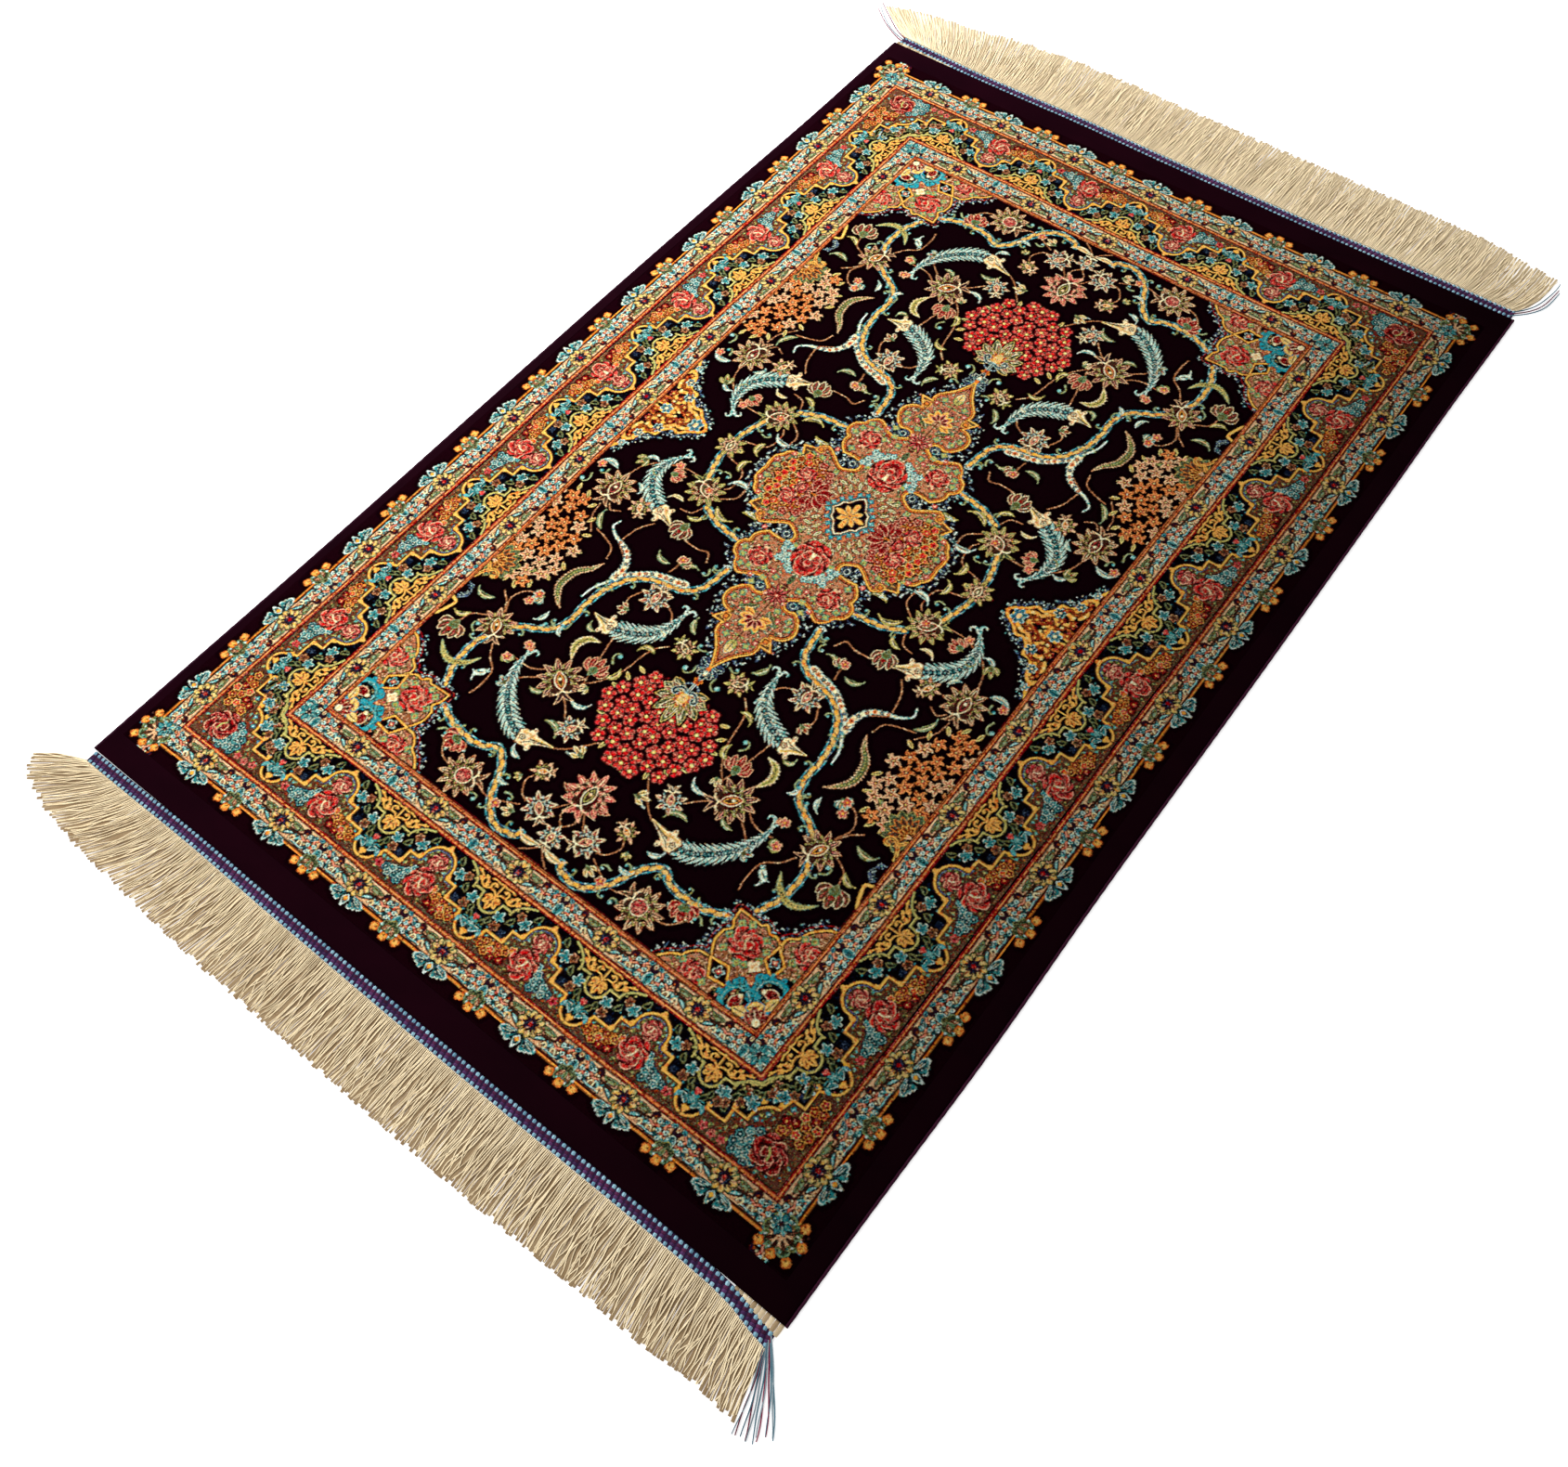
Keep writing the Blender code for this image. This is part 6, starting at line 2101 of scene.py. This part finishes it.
def thread_silk(name, dark, light):
    """A loose or wound silk thread: each thread its own shade, with fine plies and a soft shine."""
    finish = Finish(name)
    place = finish.place()
    own = finish.node("ShaderNodeAttribute", {"attribute_name": "thread"}, out="Fac")
    blotch = finish.noise(place, 55.0, 2.0)
    shade = own * 0.90 + blotch * 0.3 - 0.10
    base = finish.mix(shade, dark, light)
    fine = finish.noise(finish.stretched(place, (900.0, 315.0, 900.0)), 1.0, 1.5)
    base = finish.mix(fine * 0.2, base, dark)
    return finish.finish(base, 0.5 + fine * 0.25, fine, 0.00025, specular=0.12)


def cord_silk(name, dark, light):
    """Dark silk wound in fine turns: the overcasting of the sides, and the bands' ground."""
    finish = Finish(name)
    place = finish.place()
    turns = finish.noise(finish.stretched(place, (300, 1300, 300)), 1.0, 1.0)
    cloud = finish.noise(place, 30.0, 2.0)
    base = finish.mix(turns * 0.7 + cloud * 0.4 - 0.1, dark, light)
    return finish.finish(base, 0.5 + turns * 0.2, turns, 0.0003, specular=0.02)


def pale_floor():
    """The plain pale studio floor."""
    finish = Finish("floor_paint")
    grain = finish.noise(finish.place(), 4.0, 2.0)
    base = finish.mix(grain, (0.90, 0.90, 0.90), (0.93, 0.93, 0.93))
    finish.shader.inputs["Emission Color"].default_value = (1.0, 1.0, 1.0, 1.0)
    finish.shader.inputs["Emission Strength"].default_value = 0.55
    return finish.finish(base, 0.9, specular=0.0)


# Camera, light and floor
SENSOR = 36.0
CAMERA_LENS = 32.51
CAMERA_PLACE = (0.5059, -0.6992, 1.1077)
CAMERA_RIGHT = (0.7875, 0.6154, -0.0337)
CAMERA_UP = (-0.5235, 0.6968, 0.4904)
CAMERA_BACK = (0.3253, -0.3685, 0.8709)
FLOOR_HALF = 6.0
FLOOR_DROP = 0.0004
ROOM_LIGHT = 0.40
# One row for each light: name, place, what it is aimed at, size, power
LIGHTS = (
    ("window_light", (-1.00, 0.38, 1.10), (0.0, 0.0, 0.0), 0.7, 28.0),
    ("fill_light", (-0.5, -1.9, 1.5), (0.0, -0.2, 0.0), 1.5, 19.0),
)


def studio():
    """The camera at the photo's angle, a pale floor, two broad soft lights and a bright room."""
    scene = bpy.context.scene
    data = bpy.data.cameras.new("camera")
    data.sensor_width = SENSOR
    data.lens = CAMERA_LENS
    data.clip_start, data.clip_end = 0.01, 50.0
    camera = bpy.data.objects.new("camera", data)
    axes = Matrix((CAMERA_RIGHT, CAMERA_UP, CAMERA_BACK)).transposed()
    camera.matrix_world = Matrix.Translation(CAMERA_PLACE) @ axes.to_4x4()
    scene.collection.objects.link(camera)
    scene.camera = camera

    corners = [(x * FLOOR_HALF, y * FLOOR_HALF, 0) for x, y in ((-1, -1), (1, -1), (1, 1), (-1, 1))]
    floor = new_piece("studio_floor", corners, [(0, 1, 2, 3)], pale_floor(), smooth=False)
    floor.location.z = -FLOOR_DROP

    for name, place, aim, size, power in LIGHTS:
        lamp = bpy.data.lights.new(name, "AREA")
        lamp.shape = "DISK"
        lamp.size = size
        lamp.energy = power
        light = bpy.data.objects.new(name, lamp)
        light.location = place
        light.rotation_mode = "QUATERNION"
        light.rotation_quaternion = (Vector(aim) - Vector(place)).to_track_quat("-Z", "Y")
        scene.collection.objects.link(light)

    world = bpy.data.worlds.new("bright_room")
    world.use_nodes = True
    sky = world.node_tree.nodes["Background"]
    sky.inputs["Color"].default_value = (1.0, 1.0, 1.0, 1.0)
    sky.inputs["Strength"].default_value = ROOM_LIGHT
    scene.world = world
    scene.view_settings.view_transform = "Standard"


# Dark and light shade of each thread silk, in linear light
SILKS = {
    "sky_blue": ((0.130, 0.290, 0.400), (0.360, 0.600, 0.700)),
    "plum": ((0.030, 0.005, 0.022), (0.120, 0.022, 0.080)),
    "violet": ((0.024, 0.008, 0.045), (0.120, 0.040, 0.140)),
    "cream": ((0.24, 0.15, 0.070), (0.98, 0.82, 0.54)),
    "crimson": ((0.10, 0.004, 0.020), (0.30, 0.012, 0.060)),
    "slate_blue": ((0.05, 0.12, 0.16), (0.14, 0.28, 0.34)),
    "pale": ((0.16, 0.22, 0.25), (0.34, 0.42, 0.46)),
}


def dress_rug():
    """Every piece of the rug, in the place of its solid."""
    pile = patterned_silk()
    ground = ground_panel(plain_silk())
    slabs = patterned_pile(pile)
    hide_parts("rug_pile")
    trim = []
    cord = cord_silk("side_cord_silk", (0.010, 0.002, 0.006), (0.060, 0.012, 0.032))
    for name, side in (("selvedge_left", LEFT), ("selvedge_right", RIGHT)):
        piece = selvedge(name + "_cord", side, cord)
        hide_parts(name)
        trim.append((piece, "selvedge"))
    silk = {name: thread_silk(name + "_silk", *shades) for name, shades in SILKS.items()}
    cream, crimson, slate, white = (silk[name] for name in ("cream", "crimson", "slate_blue", "pale"))
    stitches = [silk[name] for name in ("sky_blue", "plum", "violet")]
    dark = cord_silk("band_ground_silk", (0.012, 0.006, 0.020), (0.040, 0.018, 0.060))
    for label, end, seed in (("near", NEAR, 21), ("far", FAR, 22)):
        band = f"band_{label}"
        base = band_ground(band + "_ground", end, dark)
        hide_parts(band)
        trim.append((base, "band"))
        trim += [(piece, "band") for piece in end_band(band, end, stitches)]
        piece = fringe(f"fringe_{label}_strands", end, seed, cream)
        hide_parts(f"fringe_{label}")
        trim.append((piece, "fringe"))
        trim.append((fringe_loops(f"fringe_{label}_roots", end, cream), "fringe"))
    for name, end, start, stop, ribs in (("bare_warps_near", NEAR, 0.3535, 0.3955, 11),
            ("bare_warps_far", FAR, -0.3955, -0.320, 19)):
        piece = warp_ribs(name + "_ribs", end, start, stop, ribs, cream)
        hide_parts(name)
        trim.append((piece, "warp"))
    for name, colours in (("loose_threads_near", (slate, crimson, white)),
            ("loose_threads_far_left", (white, crimson)), ("loose_threads_far_right", (crimson, slate))):
        pieces = loose_threads(name, colours)
        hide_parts(name)
        trim += [(piece, "loose_thread") for piece in pieces]
    for piece in (ground, *slabs):
        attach(piece, "root")
    for piece, slot in trim:
        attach(piece, "root")
    slabs + [piece for piece, _ in trim]


studio()
dress_rug()
